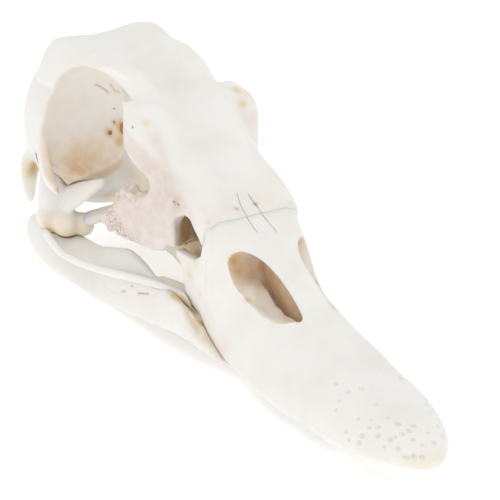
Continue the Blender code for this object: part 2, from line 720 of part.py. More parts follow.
# The nostril slopes down towards the wall in the middle
for vertex in nostril.data.vertices:
    vertex.co.z += nostril_slope * (abs(vertex.co.y) - nostril_level_side)
nose_pockets = both_sides(ball("nose_pocket", nose_pocket_centre, nose_pocket_radii))
palate_rings = []
for place in places(-10.0, 55.6, 40):
    width, edge, ridge_width, top, shoulder, flank = blend(bill_sizes, place)
    inner = max(width - bill_edge_thickness, 0.4)
    depth = min(palate_depth, (top - edge) * 0.45)
    palate_rings.append(oval_ring(place, inner, edge + depth, edge - 6.0, 5.0, count=32))
palate_hollow = loft("palate_hollow", palate_rings)
upper_bill = fused("upper_bill_body", [bill_body] + bill_walls, [palate_hollow] + nose_pockets, 0.45, 3, 2500,
                   symmetric=True)
for hollow in both_sides(nostril):
    boolean(upper_bill, hollow, "DIFFERENCE")
upper_bill = region(upper_bill, "upper_bill", [
    (hinge_front + half_gap, 40.0), (hinge_front + half_gap, -1.0), (hinge_front + half_gap - 2.2, -7.0),
    (-12.0, -7.2), (-12.0, -60.0), (90.0, -60.0), (90.0, 40.0)])

# Lower jaw: two sides and the front end that joins them
def jaw_ring(place):
    low_side, high_side, top, bottom, thick = blend(jaw_sizes, place)
    points = []
    for number in range(20):
        angle = 2 * math.pi * number / 20
        across = math.copysign(abs(math.cos(angle)) ** 0.75, math.cos(angle))
        up = math.copysign(abs(math.sin(angle)) ** 0.75, math.sin(angle))
        side = low_side + (high_side - low_side) * (up + 1) / 2
        points.append((place, -side + across * thick, (top + bottom) / 2 + up * (top - bottom) / 2))
    return np.array(points)


jaw_side = loft("jaw_side", [jaw_ring(place) for place in places(-56.0, 44.0, 60)])
jaw_tip_rings = []
for place in places(38.0, 54.6, 14):
    width, top, side_bottom, bottom = blend(jaw_tip_sizes, place)
    ring = []
    for number in range(17):
        side = -1.0 + number / 8
        ring.append((place, side * width, top))
    for number in range(17):
        side = 1.0 - number / 8
        ring.append((place, side * width, side_bottom + (bottom - side_bottom) * max(0.0, 1 - (side / 0.55) ** 2)))
    jaw_tip_rings.append(np.array(ring))
jaw_tip = loft("jaw_tip", jaw_tip_rings)
floor_block = plate("floor_block", [(-100.0, -60.0), (100.0, -60.0), (100.0, floor_height), (-100.0, floor_height)],
                    -60.0, 60.0)
jaw_shelf = rod("jaw_shelf", jaw_shelf_line, jaw_shelf_half_thickness, sides=12, count=16, thin_axis=(0.0, -0.45, 0.9))
mandible_right = fused("mandible_right_body", [jaw_side, jaw_shelf], [floor_block], 0.45, 2, 820)
mandible_front = fused("mandible_front_body", [jaw_tip], [floor_block], 0.45, 2, 340, symmetric=True)
boolean(mandible_right, floor_block, "DIFFERENCE")
boolean(mandible_front, floor_block, "DIFFERENCE")
mandible_right = region(mandible_right, "mandible_right", [
    (-90.0, 20.0), (jaw_split - half_gap, 20.0), (jaw_split - half_gap, -60.0), (-90.0, -60.0)])
mandible_front = region(mandible_front, "mandible_symphysis", [
    (90.0, 20.0), (jaw_split + half_gap, 20.0), (jaw_split + half_gap, -60.0), (90.0, -60.0)])

# Pterygoid, palatine, jugal bar and vomer
pterygoid_right = rod("pterygoid_right", pterygoid_line, pterygoid_half_thickness, sides=10, count=8,
                      thin_axis=(0.0, 0.0, 1.0))
palatine_right = voxel(plate("palatine_plate", palatine_outline, -palatine_half_thickness, palatine_half_thickness),
                       0.4)
bend_sideways(palatine_right, palatine_side)
soften(palatine_right, 2)
thin_out(palatine_right, 380)
jugal_right = rod("jugal_right", jugal_line, 0.65, sides=8, count=20)
vomer = rod("vomer", vomer_line, vomer_half_thickness, sides=8, count=10)

# Neighbours keep their gap.
clear_of(upper_bill, [lacrimal_right, mirror_image(lacrimal_right, "lacrimal_near"), septum])
clear_of(jugal_right, [quadrate_right, upper_bill], thin_bone_gap)
clear_of(mandible_right, [jugal_right], thin_bone_gap)
clear_of(mandible_right, [quadrate_right, upper_bill])
clear_of(mandible_front, [upper_bill])
clear_of(vomer, [septum, upper_bill])
clear_of(pterygoid_right, [quadrate_right])
clear_of(palatine_right, [upper_bill, pterygoid_right, septum])

named_bones = [
    (braincase, "braincase"),
    (frontal, "frontal"),
    (septum, "orbital_septum"),
    (upper_bill, "upper_bill"),
    (vomer, "vomer"),
    (mandible_front, "mandible_symphysis"),
]
for bone, name in [
    (lacrimal_right, "lacrimal"),
    (quadrate_right, "quadrate"),
    (pterygoid_right, "pterygoid"),
    (palatine_right, "palatine"),
    (jugal_right, "jugal_bar"),
    (mandible_right, "mandible"),
]:
    named_bones.append((bone, name + "_right"))
    named_bones.append((mirror_image(bone, name + "_mirrored"), name + "_left"))

skull = bpy.data.objects.new("duck_skull_origin", None)
parts.objects.link(skull)
to_metres = Matrix.Scale(metres_per_millimetre, 4) @ Matrix.Translation((-skull_middle, 0.0, -floor_height))
for bone, name in named_bones:
    mesh = bone.data.copy()
    mesh.transform(to_metres)
    mesh.name = name
    work = bmesh.new()
    work.from_mesh(mesh)
    bmesh.ops.triangulate(work, faces=work.faces)
    work.to_mesh(mesh)
    work.free()
    mesh.shade_smooth()
    mesh.set_sharp_from_angle(angle=math.radians(50.0))
    material = bpy.data.materials.new("bone_" + name)
    material.use_nodes = True
    shader = material.node_tree.nodes["Principled BSDF"]
    shader.inputs["Base Color"].default_value = bone_colour
    shader.inputs["Roughness"].default_value = bone_roughness
    shader.inputs["Metallic"].default_value = 0.0
    mesh.materials.clear()
    mesh.materials.append(material)
    if name in bpy.data.objects:
        bpy.data.objects[name].name = name + "_draft"
    result = bpy.data.objects.new(name, mesh)
    parts.objects.link(result)
    result.parent = skull

for leftover in list(cutters.objects):
    bpy.data.objects.remove(leftover, do_unlink=True)
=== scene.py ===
# A duck skull with its lower jaw closed, bleached white, at life size
import json
import math

import bmesh
import bpy
import numpy as np
from mathutils import Matrix, Vector, noise
from mathutils.bvhtree import BVHTree

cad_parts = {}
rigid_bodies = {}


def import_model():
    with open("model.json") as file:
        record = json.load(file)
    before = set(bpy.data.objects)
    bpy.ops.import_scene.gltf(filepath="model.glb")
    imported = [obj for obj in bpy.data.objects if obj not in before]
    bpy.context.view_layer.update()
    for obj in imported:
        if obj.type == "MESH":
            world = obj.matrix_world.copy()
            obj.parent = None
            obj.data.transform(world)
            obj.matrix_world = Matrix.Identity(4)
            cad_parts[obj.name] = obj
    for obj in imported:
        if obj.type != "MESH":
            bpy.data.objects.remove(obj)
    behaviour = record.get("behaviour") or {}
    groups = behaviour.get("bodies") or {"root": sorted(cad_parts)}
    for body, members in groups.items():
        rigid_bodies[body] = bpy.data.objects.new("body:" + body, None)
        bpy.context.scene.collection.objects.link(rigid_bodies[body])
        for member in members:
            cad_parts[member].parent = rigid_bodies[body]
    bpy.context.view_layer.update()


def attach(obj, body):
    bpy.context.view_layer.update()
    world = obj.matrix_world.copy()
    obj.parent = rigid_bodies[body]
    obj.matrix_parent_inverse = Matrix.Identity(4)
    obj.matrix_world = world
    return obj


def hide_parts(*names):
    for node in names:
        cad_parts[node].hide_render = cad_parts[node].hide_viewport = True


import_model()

# Every bone is shaped in millimetres, counted from the middle of the hinge between forehead and bill:
# X forward along the bill, Y to the animal's left, Z up. putInFrame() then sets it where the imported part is.
# A row of a size table starts with its place along X. A line has rows of x, y, z and half width, and an
# outline is seen from the side, as x and z, unless its note says otherwise.
whole = {
    "gap": 0.3,             # between bones that touch
    "gapMargin": 0.05,      # for the faces that stand between two points of a curve
    "gapGrain": 0.3,        # size of the faces of the space that a bone leaves for its neighbour
    "seam": 0.02,           # between forehead and bill, which have grown together but for a fine line
    "waveSize": 7.0,        # uneven growth of every bone
    "waveHeight": 0.22,
    "floor": -25.7,         # height of the surface that the skull rests on
    "middle": -3.4,         # of the skull's length
    "grain": 0.26,          # size of the faces of a finished bone
    "quickGrain": 0.42,
    "far": 100.0,           # beyond every bone, for the outlines that cut one
    "ovalPoints": 64,
    "sharpAngle": 50.0,     # degrees
    "ballFaces": (40, 24),  # around and from end to end
}
far = whole["far"]
grain = whole["grain"]
millimetre = 0.001

bench = bpy.data.collections.new("bench")      # bodies that are used up while a bone is made
bones = bpy.data.collections.new("duckSkull")
bpy.context.scene.collection.children.link(bench)
bpy.context.scene.collection.children.link(bones)


# The camera stands where the photographer stood, worked out from landmarks on both sides of the skull
viewpoint = {
    "around": 30.0,         # degrees from straight ahead, towards the animal's right
    "above": 24.5,
    "distance": 560.0,      # mm from the hinge
    "pixelsPerMillimetre": 5.9,   # at the hinge, in a picture 500 pixels wide
    "hingePixel": (251.0, 213.0),
    "pictureWidth": 500.0,
    "sensor": 36.0,         # mm
    "nearest": 0.01,        # m
}


def makeCamera():
    around = math.radians(viewpoint["around"])
    above = math.radians(viewpoint["above"])
    back = Vector((math.cos(above) * math.cos(around), -math.cos(above) * math.sin(around), math.sin(above)))
    right = Vector((math.sin(around), math.cos(around), 0.0))
    up = back.cross(right)
    focal = viewpoint["pixelsPerMillimetre"] * viewpoint["distance"]
    half = viewpoint["pictureWidth"] / 2
    across = (viewpoint["hingePixel"][0] - half) / focal
    down = (viewpoint["hingePixel"][1] - half) / focal
    place = (back - right * across + up * down) * viewpoint["distance"]
    lens = bpy.data.cameras.new("photoCamera")
    lens.sensor_width = viewpoint["sensor"]
    lens.lens = focal / viewpoint["pictureWidth"] * viewpoint["sensor"]
    lens.clip_start = viewpoint["nearest"]
    camera = bpy.data.objects.new("photoCamera", lens)
    bpy.context.scene.collection.objects.link(camera)
    shifted = (place - Vector((whole["middle"], 0.0, whole["floor"]))) * millimetre
    turned = Matrix((right, up, back)).transposed().to_4x4()
    camera.matrix_world = Matrix.Translation(shifted) @ turned
    bpy.context.scene.camera = camera
    return {"place": place, "right": right, "up": up, "back": back, "focal": focal, "half": half}


eye = makeCamera()
print("camera set")


# Curves and tables
def between(table, place):
    # values of a size table at a place between its rows, without overshoot
    rows = np.array(sorted(table), dtype=float)
    places = rows[:, 0]
    values = rows[:, 1:]
    place = min(max(place, places[0]), places[-1])
    slopes = np.diff(values, axis=0) / np.diff(places)[:, None]
    tangents = np.zeros_like(values)
    tangents[0] = slopes[0]
    tangents[-1] = slopes[-1]
    for row in range(1, len(places) - 1):
        product = slopes[row - 1] * slopes[row]
        total = slopes[row - 1] + slopes[row]
        safe = np.where(np.abs(total) < 1e-9, 1.0, total)
        tangents[row] = np.where(product > 0.0, 2.0 * product / safe, 0.0)
    row = min(int(np.searchsorted(places, place, side="right")) - 1, len(places) - 2)
    width = places[row + 1] - places[row]
    t = (place - places[row]) / width
    start = values[row] * (2 * t ** 3 - 3 * t ** 2 + 1) + tangents[row] * width * (t ** 3 - 2 * t ** 2 + t)
    end = values[row + 1] * (3 * t ** 2 - 2 * t ** 3) + tangents[row + 1] * width * (t ** 3 - t ** 2)
    return start + end


def spanPoint(a, b, c, d, t):
    # between b and c on a smooth curve through four points
    bend = (2 * a - 5 * b + 4 * c - d) * t ** 2 + (3 * b - a - 3 * c + d) * t ** 3
    return 0.5 * (2 * b + (c - a) * t + bend)


def curveThrough(points, count):
    rows = np.array(points, dtype=float)
    last = len(points) - 1
    padded = np.vstack([2 * rows[0] - rows[1], rows, 2 * rows[-1] - rows[-2]])
    result = []
    for number in range(count):
        place = last * number / (count - 1)
        first = min(int(place), last - 1)
        result.append(spanPoint(*padded[first:first + 4], place - first))
    return np.array(result)


def closedCurve(points, perSpan):
    rows = np.array(points, dtype=float)
    total = len(rows)
    result = []
    for first in range(total):
        corners = [rows[(first + shift) % total] for shift in (-1, 0, 1, 2)]
        for number in range(perSpan):
            result.append(spanPoint(*corners, number / perSpan))
    return np.array(result)


def places(first, last, step):
    count = max(4, int(abs(last - first) / step) + 1)
    return [first + (last - first) * number / (count - 1) for number in range(count)]


# Bodies
def addBody(name, mesh):
    result = bpy.data.objects.new(name, mesh)
    bench.objects.link(result)
    return result


def loft(name, rings):
    # a closed body through rings of equally many points, with a fan at each end
    count = len(rings[0])
    points = [tuple(point) for ring in rings for point in ring]
    points.append(tuple(np.mean(rings[0], axis=0)))
    points.append(tuple(np.mean(rings[-1], axis=0)))
    faces = []
    for ring in range(len(rings) - 1):
        for side in range(count):
            after = (side + 1) % count
            low = ring * count
            high = low + count
            faces.append((low + side, low + after, high + after, high + side))
    last = (len(rings) - 1) * count
    for side in range(count):
        after = (side + 1) % count
        faces.append((after, side, len(points) - 2))
        faces.append((last + side, last + after, len(points) - 1))
    mesh = bpy.data.meshes.new(name)
    mesh.from_pydata(points, [], faces)
    faceOutward(mesh)
    return addBody(name, mesh)


def faceOutward(mesh):
    work = bmesh.new()
    work.from_mesh(mesh)
    bmesh.ops.triangulate(work, faces=[face for face in work.faces if len(face.verts) > 4])
    bmesh.ops.recalc_face_normals(work, faces=work.faces)
    work.to_mesh(mesh)
    work.free()


def swept(name, table, ring, part=""):
    # a body through the rings that a table's sizes give along its span
    sizes, span = (part + "Sizes", part + "Span") if part else ("sizes", "span")
    return loft(name, [ring(place, *between(table[sizes], place)) for place in places(*table[span])])


rodCap = [(0.45, 0.83), (0.75, 0.45)]      # steps of a rounded end: how far out, and its width there


def rod(name, line, halfThickness=None, sides=20, count=30, thinAxis=(0.0, 1.0, 0.0)):
    # a tapered rod or strip along a line of (x, y, z, half width), with rounded ends
    samples = curveThrough(line, count)
    centres = samples[:, :3]
    tangents = np.gradient(centres, axis=0)
    tangents /= np.linalg.norm(tangents, axis=1)[:, None]
    rings = []
    for number, centre in enumerate(centres):
        tangent = tangents[number]
        across = np.array(thinAxis) - tangent * np.dot(thinAxis, tangent)
        across /= np.linalg.norm(across)
        wide = np.cross(tangent, across)
        width = samples[number, 3]
        thick = min(halfThickness, width) if halfThickness else width
        steps = [(0.0, 1.0)]
        if number == 0:
            steps = [(-shift, scale) for shift, scale in reversed(rodCap)] + steps
        if number == count - 1:
            steps += rodCap
        for shift, scale in steps:
            middle = centre + tangent * shift * thick
            ring = []
            for side in range(sides):
                angle = 2 * math.pi * side / sides
                ring.append(middle + wide * width * scale * math.cos(angle)
                            + across * thick * scale * math.sin(angle))
            rings.append(np.array(ring))
    return loft(name, rings)


def rodOf(table, part, name=None):
    # the rod that a table describes
    return rod(name or part, table[part + "Line"], table.get(part + "HalfThickness"),
               thinAxis=table.get(part + "ThinAxis", (0.0, 1.0, 0.0)))


def ball(name, centre, radii, towards=None):
    # an oval body; its third radius lies along the direction given
    around, along = whole["ballFaces"]
    bpy.ops.mesh.primitive_uv_sphere_add(segments=around, ring_count=along, location=(0.0, 0.0, 0.0))
    result = bpy.context.object
    result.name = name
    turned = Vector(towards).to_track_quat("Z", "Y") if towards is not None else None
    result.data.transform(Matrix.LocRotScale(Vector(centre), turned, Vector(radii)))
    for owner in list(result.users_collection):
        owner.objects.unlink(result)
    bench.objects.link(result)
    return result


def ballOf(table, part, side=1):
    # the ball that a table describes, or with side -1 the one across the skull
    x, y, z = table[part + "Centre"]
    return ball(part, (x, y * side, z), table[part + "Radii"])


def plate(name, outline, low, high, axis="Y"):
    # a flat outline made into a solid: (x, z) outlines run along Y, (x, y) outlines along Z
    points = []
    for level in (low, high):
        for first, second in outline:
            points.append((first, level, second) if axis == "Y" else (first, second, level))
    count = len(outline)
    faces = [tuple(range(count)), tuple(range(2 * count - 1, count - 1, -1))]
    for side in range(count):
        after = (side + 1) % count
        faces.append((side, after, count + after, count + side))
    mesh = bpy.data.meshes.new(name)
    mesh.from_pydata(points, [], faces)
    faceOutward(mesh)
    return addBody(name, mesh)


def settle(item):
    # makes the modifiers part of the mesh
    graph = bpy.context.evaluated_depsgraph_get()
    mesh = bpy.data.meshes.new_from_object(item.evaluated_get(graph))
    item.modifiers.clear()
    item.data = mesh
    return item


def evenFaces(item, size):
    change = item.modifiers.new("evenFaces", "REMESH")
    change.mode = "VOXEL"
    change.voxel_size = size
    return settle(item)


def soften(item, reach):
    # a round of smoothing spreads over about one face, so finer faces take more rounds
    change = item.modifiers.new("soften", "SMOOTH")
    change.factor = 0.5
    change.iterations = max(1, round((reach / grain) ** 2))
    return settle(item)


def boolean(item, other, operation):
    change = item.modifiers.new("cut", "BOOLEAN")
    change.operation = operation
    change.solver = "MANIFOLD"
    change.object = other
    return settle(item)


def keepLargest(item):
    work = bmesh.new()
    work.from_mesh(item.data)
    work.verts.ensure_lookup_table()
    unseen = set(work.verts)
    islands = []
    while unseen:
        island = [unseen.pop()]
        stack = list(island)
        while stack:
            for edge in stack.pop().link_edges:
                for corner in edge.verts:
                    if corner in unseen:
                        unseen.remove(corner)
                        island.append(corner)
                        stack.append(corner)
        islands.append(island)
    islands.sort(key=len, reverse=True)
    for island in islands[1:]:
        bmesh.ops.delete(work, geom=island, context="VERTS")
    work.to_mesh(item.data)
    work.free()
    return item


def joined(name, pieces):
    work = bmesh.new()
    for piece in pieces:
        work.from_mesh(piece.data)
    mesh = bpy.data.meshes.new(name)
    work.to_mesh(mesh)
    work.free()
    for piece in pieces:
        bpy.data.objects.remove(piece, do_unlink=True)
    return addBody(name, mesh)


def copyOf(item, name):
    return addBody(name, item.data.copy())


def mirrored(item, name):
    result = copyOf(item, name)
    result.data.transform(Matrix.Scale(-1.0, 4, (0.0, 1.0, 0.0)))
    result.data.flip_normals()
    return result


def bothSides(item):
    return [item, mirrored(item, item.name + "Other")]


def grownTogether(name, pieces, hollows, reach, processes=()):
    # overlapping bodies become one bone, which is then hollowed, given its processes and softened
    bone = evenFaces(joined(name, pieces), grain)
    for hollow in hollows:
        boolean(bone, hollow, "DIFFERENCE")
    if processes:
        bone = joined(name, [bone] + list(processes))
    evenFaces(bone, grain)
    soften(bone, reach)
    roughen(bone, whole["waveSize"], whole["waveHeight"])
    return keepLargest(bone)


def clearOf(item, others, gap=whole["gap"]):
    for other in others:
        grown = copyOf(other, other.name + "Space")
        change = grown.modifiers.new("grow", "DISPLACE")
        change.strength = gap + whole["gapMargin"]
        change.mid_level = 0.0
        settle(grown)
        evenFaces(grown, whole["gapGrain"])
        boolean(item, grown, "DIFFERENCE")
    return keepLargest(item)


def region(item, name, outline):
    # the part of a bone inside an outline in side view
    result = copyOf(item, name)
    boolean(result, plate(name + "Region", outline, -far, far), "INTERSECT")
    return keepLargest(result)


def pointsOf(item):
    points = np.empty(len(item.data.vertices) * 3)
    item.data.vertices.foreach_get("co", points)
    return points.reshape(-1, 3)


def movePoints(item, points):
    item.data.vertices.foreach_set("co", points.ravel())
    item.data.update()


def setSideways(item, table, upperTable=None, low=0.0, high=1.0):
    # stands a flat plate out to the right by the distances that tables give along the skull
    points = pointsOf(item)
    for point in points:
        side = between(table, point[0])[0]
        if upperTable:
            share = min(max((point[2] - low) / (high - low), 0.0), 1.0)
            side += (between(upperTable, point[0])[0] - side) * share
        point[1] -= side
    movePoints(item, points)
    return item


def normalsOf(item):
    normals = np.empty(len(item.data.vertices) * 3)
    item.data.vertex_normals.foreach_get("vector", normals)
    return normals.reshape(-1, 3)


def roughen(item, size, height, weights=None):
    # moves the surface in and out by waves of a given size
    points = pointsOf(item)
    normals = normalsOf(item)
    for number, point in enumerate(points):
        share = 1.0 if weights is None else weights[number]
        if share > 0.02:
            point += normals[number] * (noise.noise(Vector(point) / size) * height * share)
    movePoints(item, points)
    return item


def distanceTo(points, line, reach):
    # from every point to the nearest place on a line, or far where that is beyond reach
    result = np.full(len(points), far)
    near = np.all((points > line.min(axis=0) - reach) & (points < line.max(axis=0) + reach), axis=1)
    part = points[near]
    best = np.full(len(part), far)
    for start, end in zip(line[:-1], line[1:]):
        way = end - start
        share = np.clip((part - start) @ way / max(way @ way, 1e-9), 0.0, 1.0)
        best = np.minimum(best, np.linalg.norm(part - start - share[:, None] * way, axis=1))
    result[near] = best
    return result


def squaredOval(count, power):
    # points (across, up) from -1 to 1, on an oval where the power is 2 and squarer where it is more
    result = []
    for number in range(count):
        angle = 2 * math.pi * number / count
        ways = (math.cos(angle), math.sin(angle))
        result.append([math.copysign(abs(way) ** (2 / power), way) for way in ways])
    return result


def ovalRing(place, width, top, bottom, power, level=0.5):
    points = []
    middle = bottom + (top - bottom) * level
    for across, up in squaredOval(whole["ovalPoints"], power):
        reach = top - middle if up > 0 else middle - bottom
        points.append((place, across * width, middle + up * reach))
    return np.array(points)


# Cranium: roof, braincase, septum between the orbits and lacrimals, grown together in an adult
cranium = {
    # half width, then heights of the middle, the ridges at its sides, the edge and the underside
    "roofSizes": [
        (-59.8, 9.8, 12.0, 12.4, 7.2, 4.0),
        (-55.0, 12.6, 14.4, 15.2, 8.0, 5.0),
        (-50.0, 12.9, 14.9, 16.2, 8.8, 6.5),
        (-45.8, 12.3, 14.7, 15.8, 11.4, 8.5),
        (-41.5, 11.1, 14.4, 16.0, 14.6, 9.4),
        (-38.0, 10.0, 14.0, 15.9, 15.7, 9.8),
        (-34.5, 8.7, 13.2, 16.4, 16.4, 9.8),
        (-31.0, 8.2, 12.5, 16.4, 16.4, 9.4),
        (-28.5, 8.3, 12.2, 15.3, 15.2, 8.6),
        (-26.0, 8.7, 11.9, 14.0, 13.2, 7.6),
        (-22.0, 10.0, 11.2, 13.4, 12.4, 6.5),
        (-18.0, 9.8, 9.3, 10.9, 9.4, 5.5),
        (-14.0, 8.8, 7.2, 8.4, 6.6, 4.0),
        (-10.0, 8.3, 5.2, 6.5, 5.2, 2.6),
        (-6.0, 8.0, 2.5, 4.0, 3.2, 0.3),
        (-2.5, 8.1, 0.8, 1.4, 1.0, -1.4),
        (3.0, 8.2, -0.9, -0.9, -1.2, -3.2),
    ],
    "ridgePlace": 0.66,     # share of the half width
    "roofEdge": 1.0,
    "roofSpan": (-59.0, 3.0, 0.7),          # first place, last place and step
    "roofPoints": (48, 28),                 # over its top and under it
    "roofPower": 4,                         # how flat it is under its middle
    "braincaseSpan": (-62.6, -40.5, 0.6),
    "braincasePower": 2.25,                 # 2 is an oval, more is squarer
    "braincaseLevel": 0.52,                 # height of the widest place, as a share
    "septumSpan": (-47.0, -5.0, 1.2),
    "septumPower": 6.0,
    # half width, top and bottom
    "braincaseSizes": [
        (-62.8, 6.5, 3.0, -11.0),
        (-61.8, 10.0, 8.0, -14.0),
        (-59.5, 13.4, 11.8, -15.6),
        (-56.0, 14.3, 13.4, -16.4),
        (-52.0, 14.5, 14.0, -16.9),
        (-48.5, 14.2, 14.0, -15.8),
        (-44.5, 12.0, 13.8, -11.0),
        (-40.5, 8.0, 13.4, -4.0),
    ],
    "orbitCentre": (-37.3, -13.0, 2.6),
    "orbitRadii": (12.9, 11.6, 13.3),
    "foramenMagnumCentre": (-63.5, 0.0, -5.6),
    "foramenMagnumRadii": (5.0, 3.8, 3.5),
    "condyleCentre": (-62.6, 0.0, -10.6),
    "condyleRadii": (1.9, 1.9, 1.9),
    "baseCentre": (-54.5, 0.0, -13.2),
    "baseRadii": (8.0, 9.0, 4.4),
    "earCentre": (-57.6, -14.6, -9.3),
    "earRadii": (3.0, 3.0, 3.2),
    "jawRecessCentre": (-48.5, -15.4, -13.8),
    "jawRecessRadii": (5.0, 5.6, 6.8),
    "septumSizes": [
        (-47.0, 1.6, 11.0, -10.0),
        (-40.0, 1.2, 11.0, -9.6),
        (-34.0, 1.3, 10.4, -9.5),
        (-30.0, 2.0, 10.0, -9.4),
        (-26.0, 3.4, 9.4, -9.4),
        (-22.0, 4.2, 8.8, -9.5),
        (-18.0, 4.2, 7.2, -10.0),
        (-14.0, 3.6, 5.4, -10.3),
        (-9.0, 3.4, 3.0, -10.2),
        (-4.0, 3.4, 0.0, -9.4),
    ],
    "rostrumLine": [
        (-51.0, 0.0, -12.8, 4.2),
        (-47.0, 0.0, -11.2, 3.0),
        (-43.5, 0.0, -9.4, 2.0),
        (-34.0, 0.0, -8.9, 1.7),
        (-20.0, 0.0, -8.9, 1.6),
        (-9.0, 0.0, -8.8, 1.5),
    ],
    "postorbitalLine": [
        (-54.0, -12.8, 4.0, 4.4), (-52.0, -13.9, -0.4, 3.5),
        (-49.6, -14.4, -4.0, 2.6), (-48.4, -14.4, -5.4, 1.8),
    ],
    "postorbitalTipLine": [
        (-51.0, -14.3, -2.4, 2.0), (-49.0, -14.7, -5.0, 1.9),
        (-46.8, -14.9, -7.6, 1.4), (-44.5, -14.4, -9.9, 0.55),
    ],
    "postorbitalHalfThickness": 1.0,
    "postorbitalTipHalfThickness": 1.0,
    "earWingLine": [
        (-58.6, -9.6, -4.0, 4.6), (-60.8, -10.6, -8.6, 3.9), (-61.8, -11.4, -12.6, 2.6),
        (-61.2, -11.8, -15.6, 1.5), (-60.6, -12.0, -17.8, 0.65),
    ],
    "earWingHalfThickness": 1.0,
    "earWingThinAxis": (0.9, 0.4, 0.2),
    "softReach": 0.9,
}
lacrimal = {
    "curveSteps": 8,        # to each point of the outline
    "outline": [
        (-26.4, 13.2), (-23.7, 12.5), (-23.1, 11.0), (-24.4, 8.9), (-23.4, 7.5), (-20.4, 5.2),
        (-17.9, 3.4), (-16.4, 1.8), (-16.4, 0.4), (-17.4, -0.9), (-20.9, -1.3), (-23.0, -1.6),
        (-27.6, -4.4), (-31.0, -7.0), (-32.4, -9.2), (-31.8, -11.5), (-28.0, -11.9), (-22.3, -11.1),
        (-17.4, -10.5), (-14.4, -10.2), (-12.4, -9.6), (-11.4, -8.3), (-11.0, -6.2), (-10.0, -4.0),
        (-8.2, -1.8), (-5.2, -0.9), (-2.8, -2.8), (-0.8, -4.6), (0.4, -3.6), (0.2, -0.8),
        (-1.6, 1.0), (-6.8, 3.4), (-11.0, 4.9), (-15.0, 7.4), (-18.5, 10.6), (-21.8, 12.3), (-25.0, 13.4),
    ],
    "halfThickness": 1.3,
    "softReach": 0.8,
    # how far out the lower part and the brow stand, and the heights where they meet
    "side": [(-31.0, 10.9), (-24.0, 11.0), (-18.0, 10.7), (-12.0, 9.6), (-7.0, 8.5), (0.0, 7.9)],
    "browSide": [
        (-31.0, 10.2), (-27.0, 9.6), (-24.0, 10.4), (-21.5, 11.3), (-18.5, 10.8), (-16.0, 9.3),
        (-12.5, 7.7), (-7.5, 7.6), (0.0, 7.8),
    ],
    "browBottom": -2.0,
    "browTop": 4.0,
    # wall in front of the eye, seen from above
    "antorbitalOutline": [
        (-10.6, 10.4), (-11.8, 9.0), (-13.6, 7.0), (-15.8, 4.6), (-17.0, 2.0), (-15.8, 1.2),
        (-14.2, 4.0), (-12.2, 6.0), (-10.6, 7.9), (-9.4, 9.6),
    ],
    "antorbitalTop": 1.0,
    "antorbitalBottom": -11.4,
    "antorbitalRise": 0.33,      # its lower edge rises outwards
    # spongy growth along the lower rear edge
    "raggedEdge": [
        (-20.0, -1.4), (-24.0, -2.0), (-28.0, -4.4), (-31.6, -7.4),
        (-32.6, -10.0), (-31.6, -12.4), (-27.0, -12.4),
    ],
    "raggedSize": 1.1,
    "raggedHeight": 0.85,
    "raggedReach": 2.4,
    "raggedLimit": 8.0,     # no growth farther from the edge
    "raggedSide": 8.2,      # nor nearer to the middle of the skull
}
# The joint between forehead and bill stands upright at its top and slants back below
hinge = {
    "front": 0.4,
    "bend": -1.0,           # height where it begins to slant
    "foot": -7.2,
    "footHeight": -22.0,
    "shelf": (-1.8, -7.0),  # under the forehead the bill's side of it runs back along a shelf
    "shelfEnd": (-12.0, -7.2),
}


def roofRing(place, width, middle, ridge, edge, under):
    points = []
    over, below = cranium["roofPoints"]
    for number in range(over + 1):
        side = -1.0 + 2.0 * number / over
        away = abs(side)
        if away < cranium["ridgePlace"]:
            t = away / cranium["ridgePlace"]
            height = middle + (ridge - middle) * t * t * (3 - 2 * t)
        else:
            t = (away - cranium["ridgePlace"]) / (1 - cranium["ridgePlace"])
            height = ridge - (ridge - edge) * t * t
        points.append((place, side * width, height))
    for number in range(1, below):
        side = 1.0 - 2.0 * number / below
        height = under + (edge - cranium["roofEdge"] - under) * abs(side) ** cranium["roofPower"]
        points.append((place, side * width, height))
    return np.array(points)


def lacrimalBody(name):
    outline = closedCurve(lacrimal["outline"], lacrimal["curveSteps"])
    thick = lacrimal["halfThickness"]
    body = plate(name, [tuple(point) for point in outline], -thick, thick)
    evenFaces(body, grain)
    soften(body, lacrimal["softReach"])
    return setSideways(body, lacrimal["side"], lacrimal["browSide"],
                       lacrimal["browBottom"], lacrimal["browTop"])


def braincaseRing(place, width, top, bottom):
    return ovalRing(place, width, top, bottom, cranium["braincasePower"], cranium["braincaseLevel"])


def septumRing(place, width, top, bottom):
    return ovalRing(place, width, top, bottom, cranium["septumPower"])


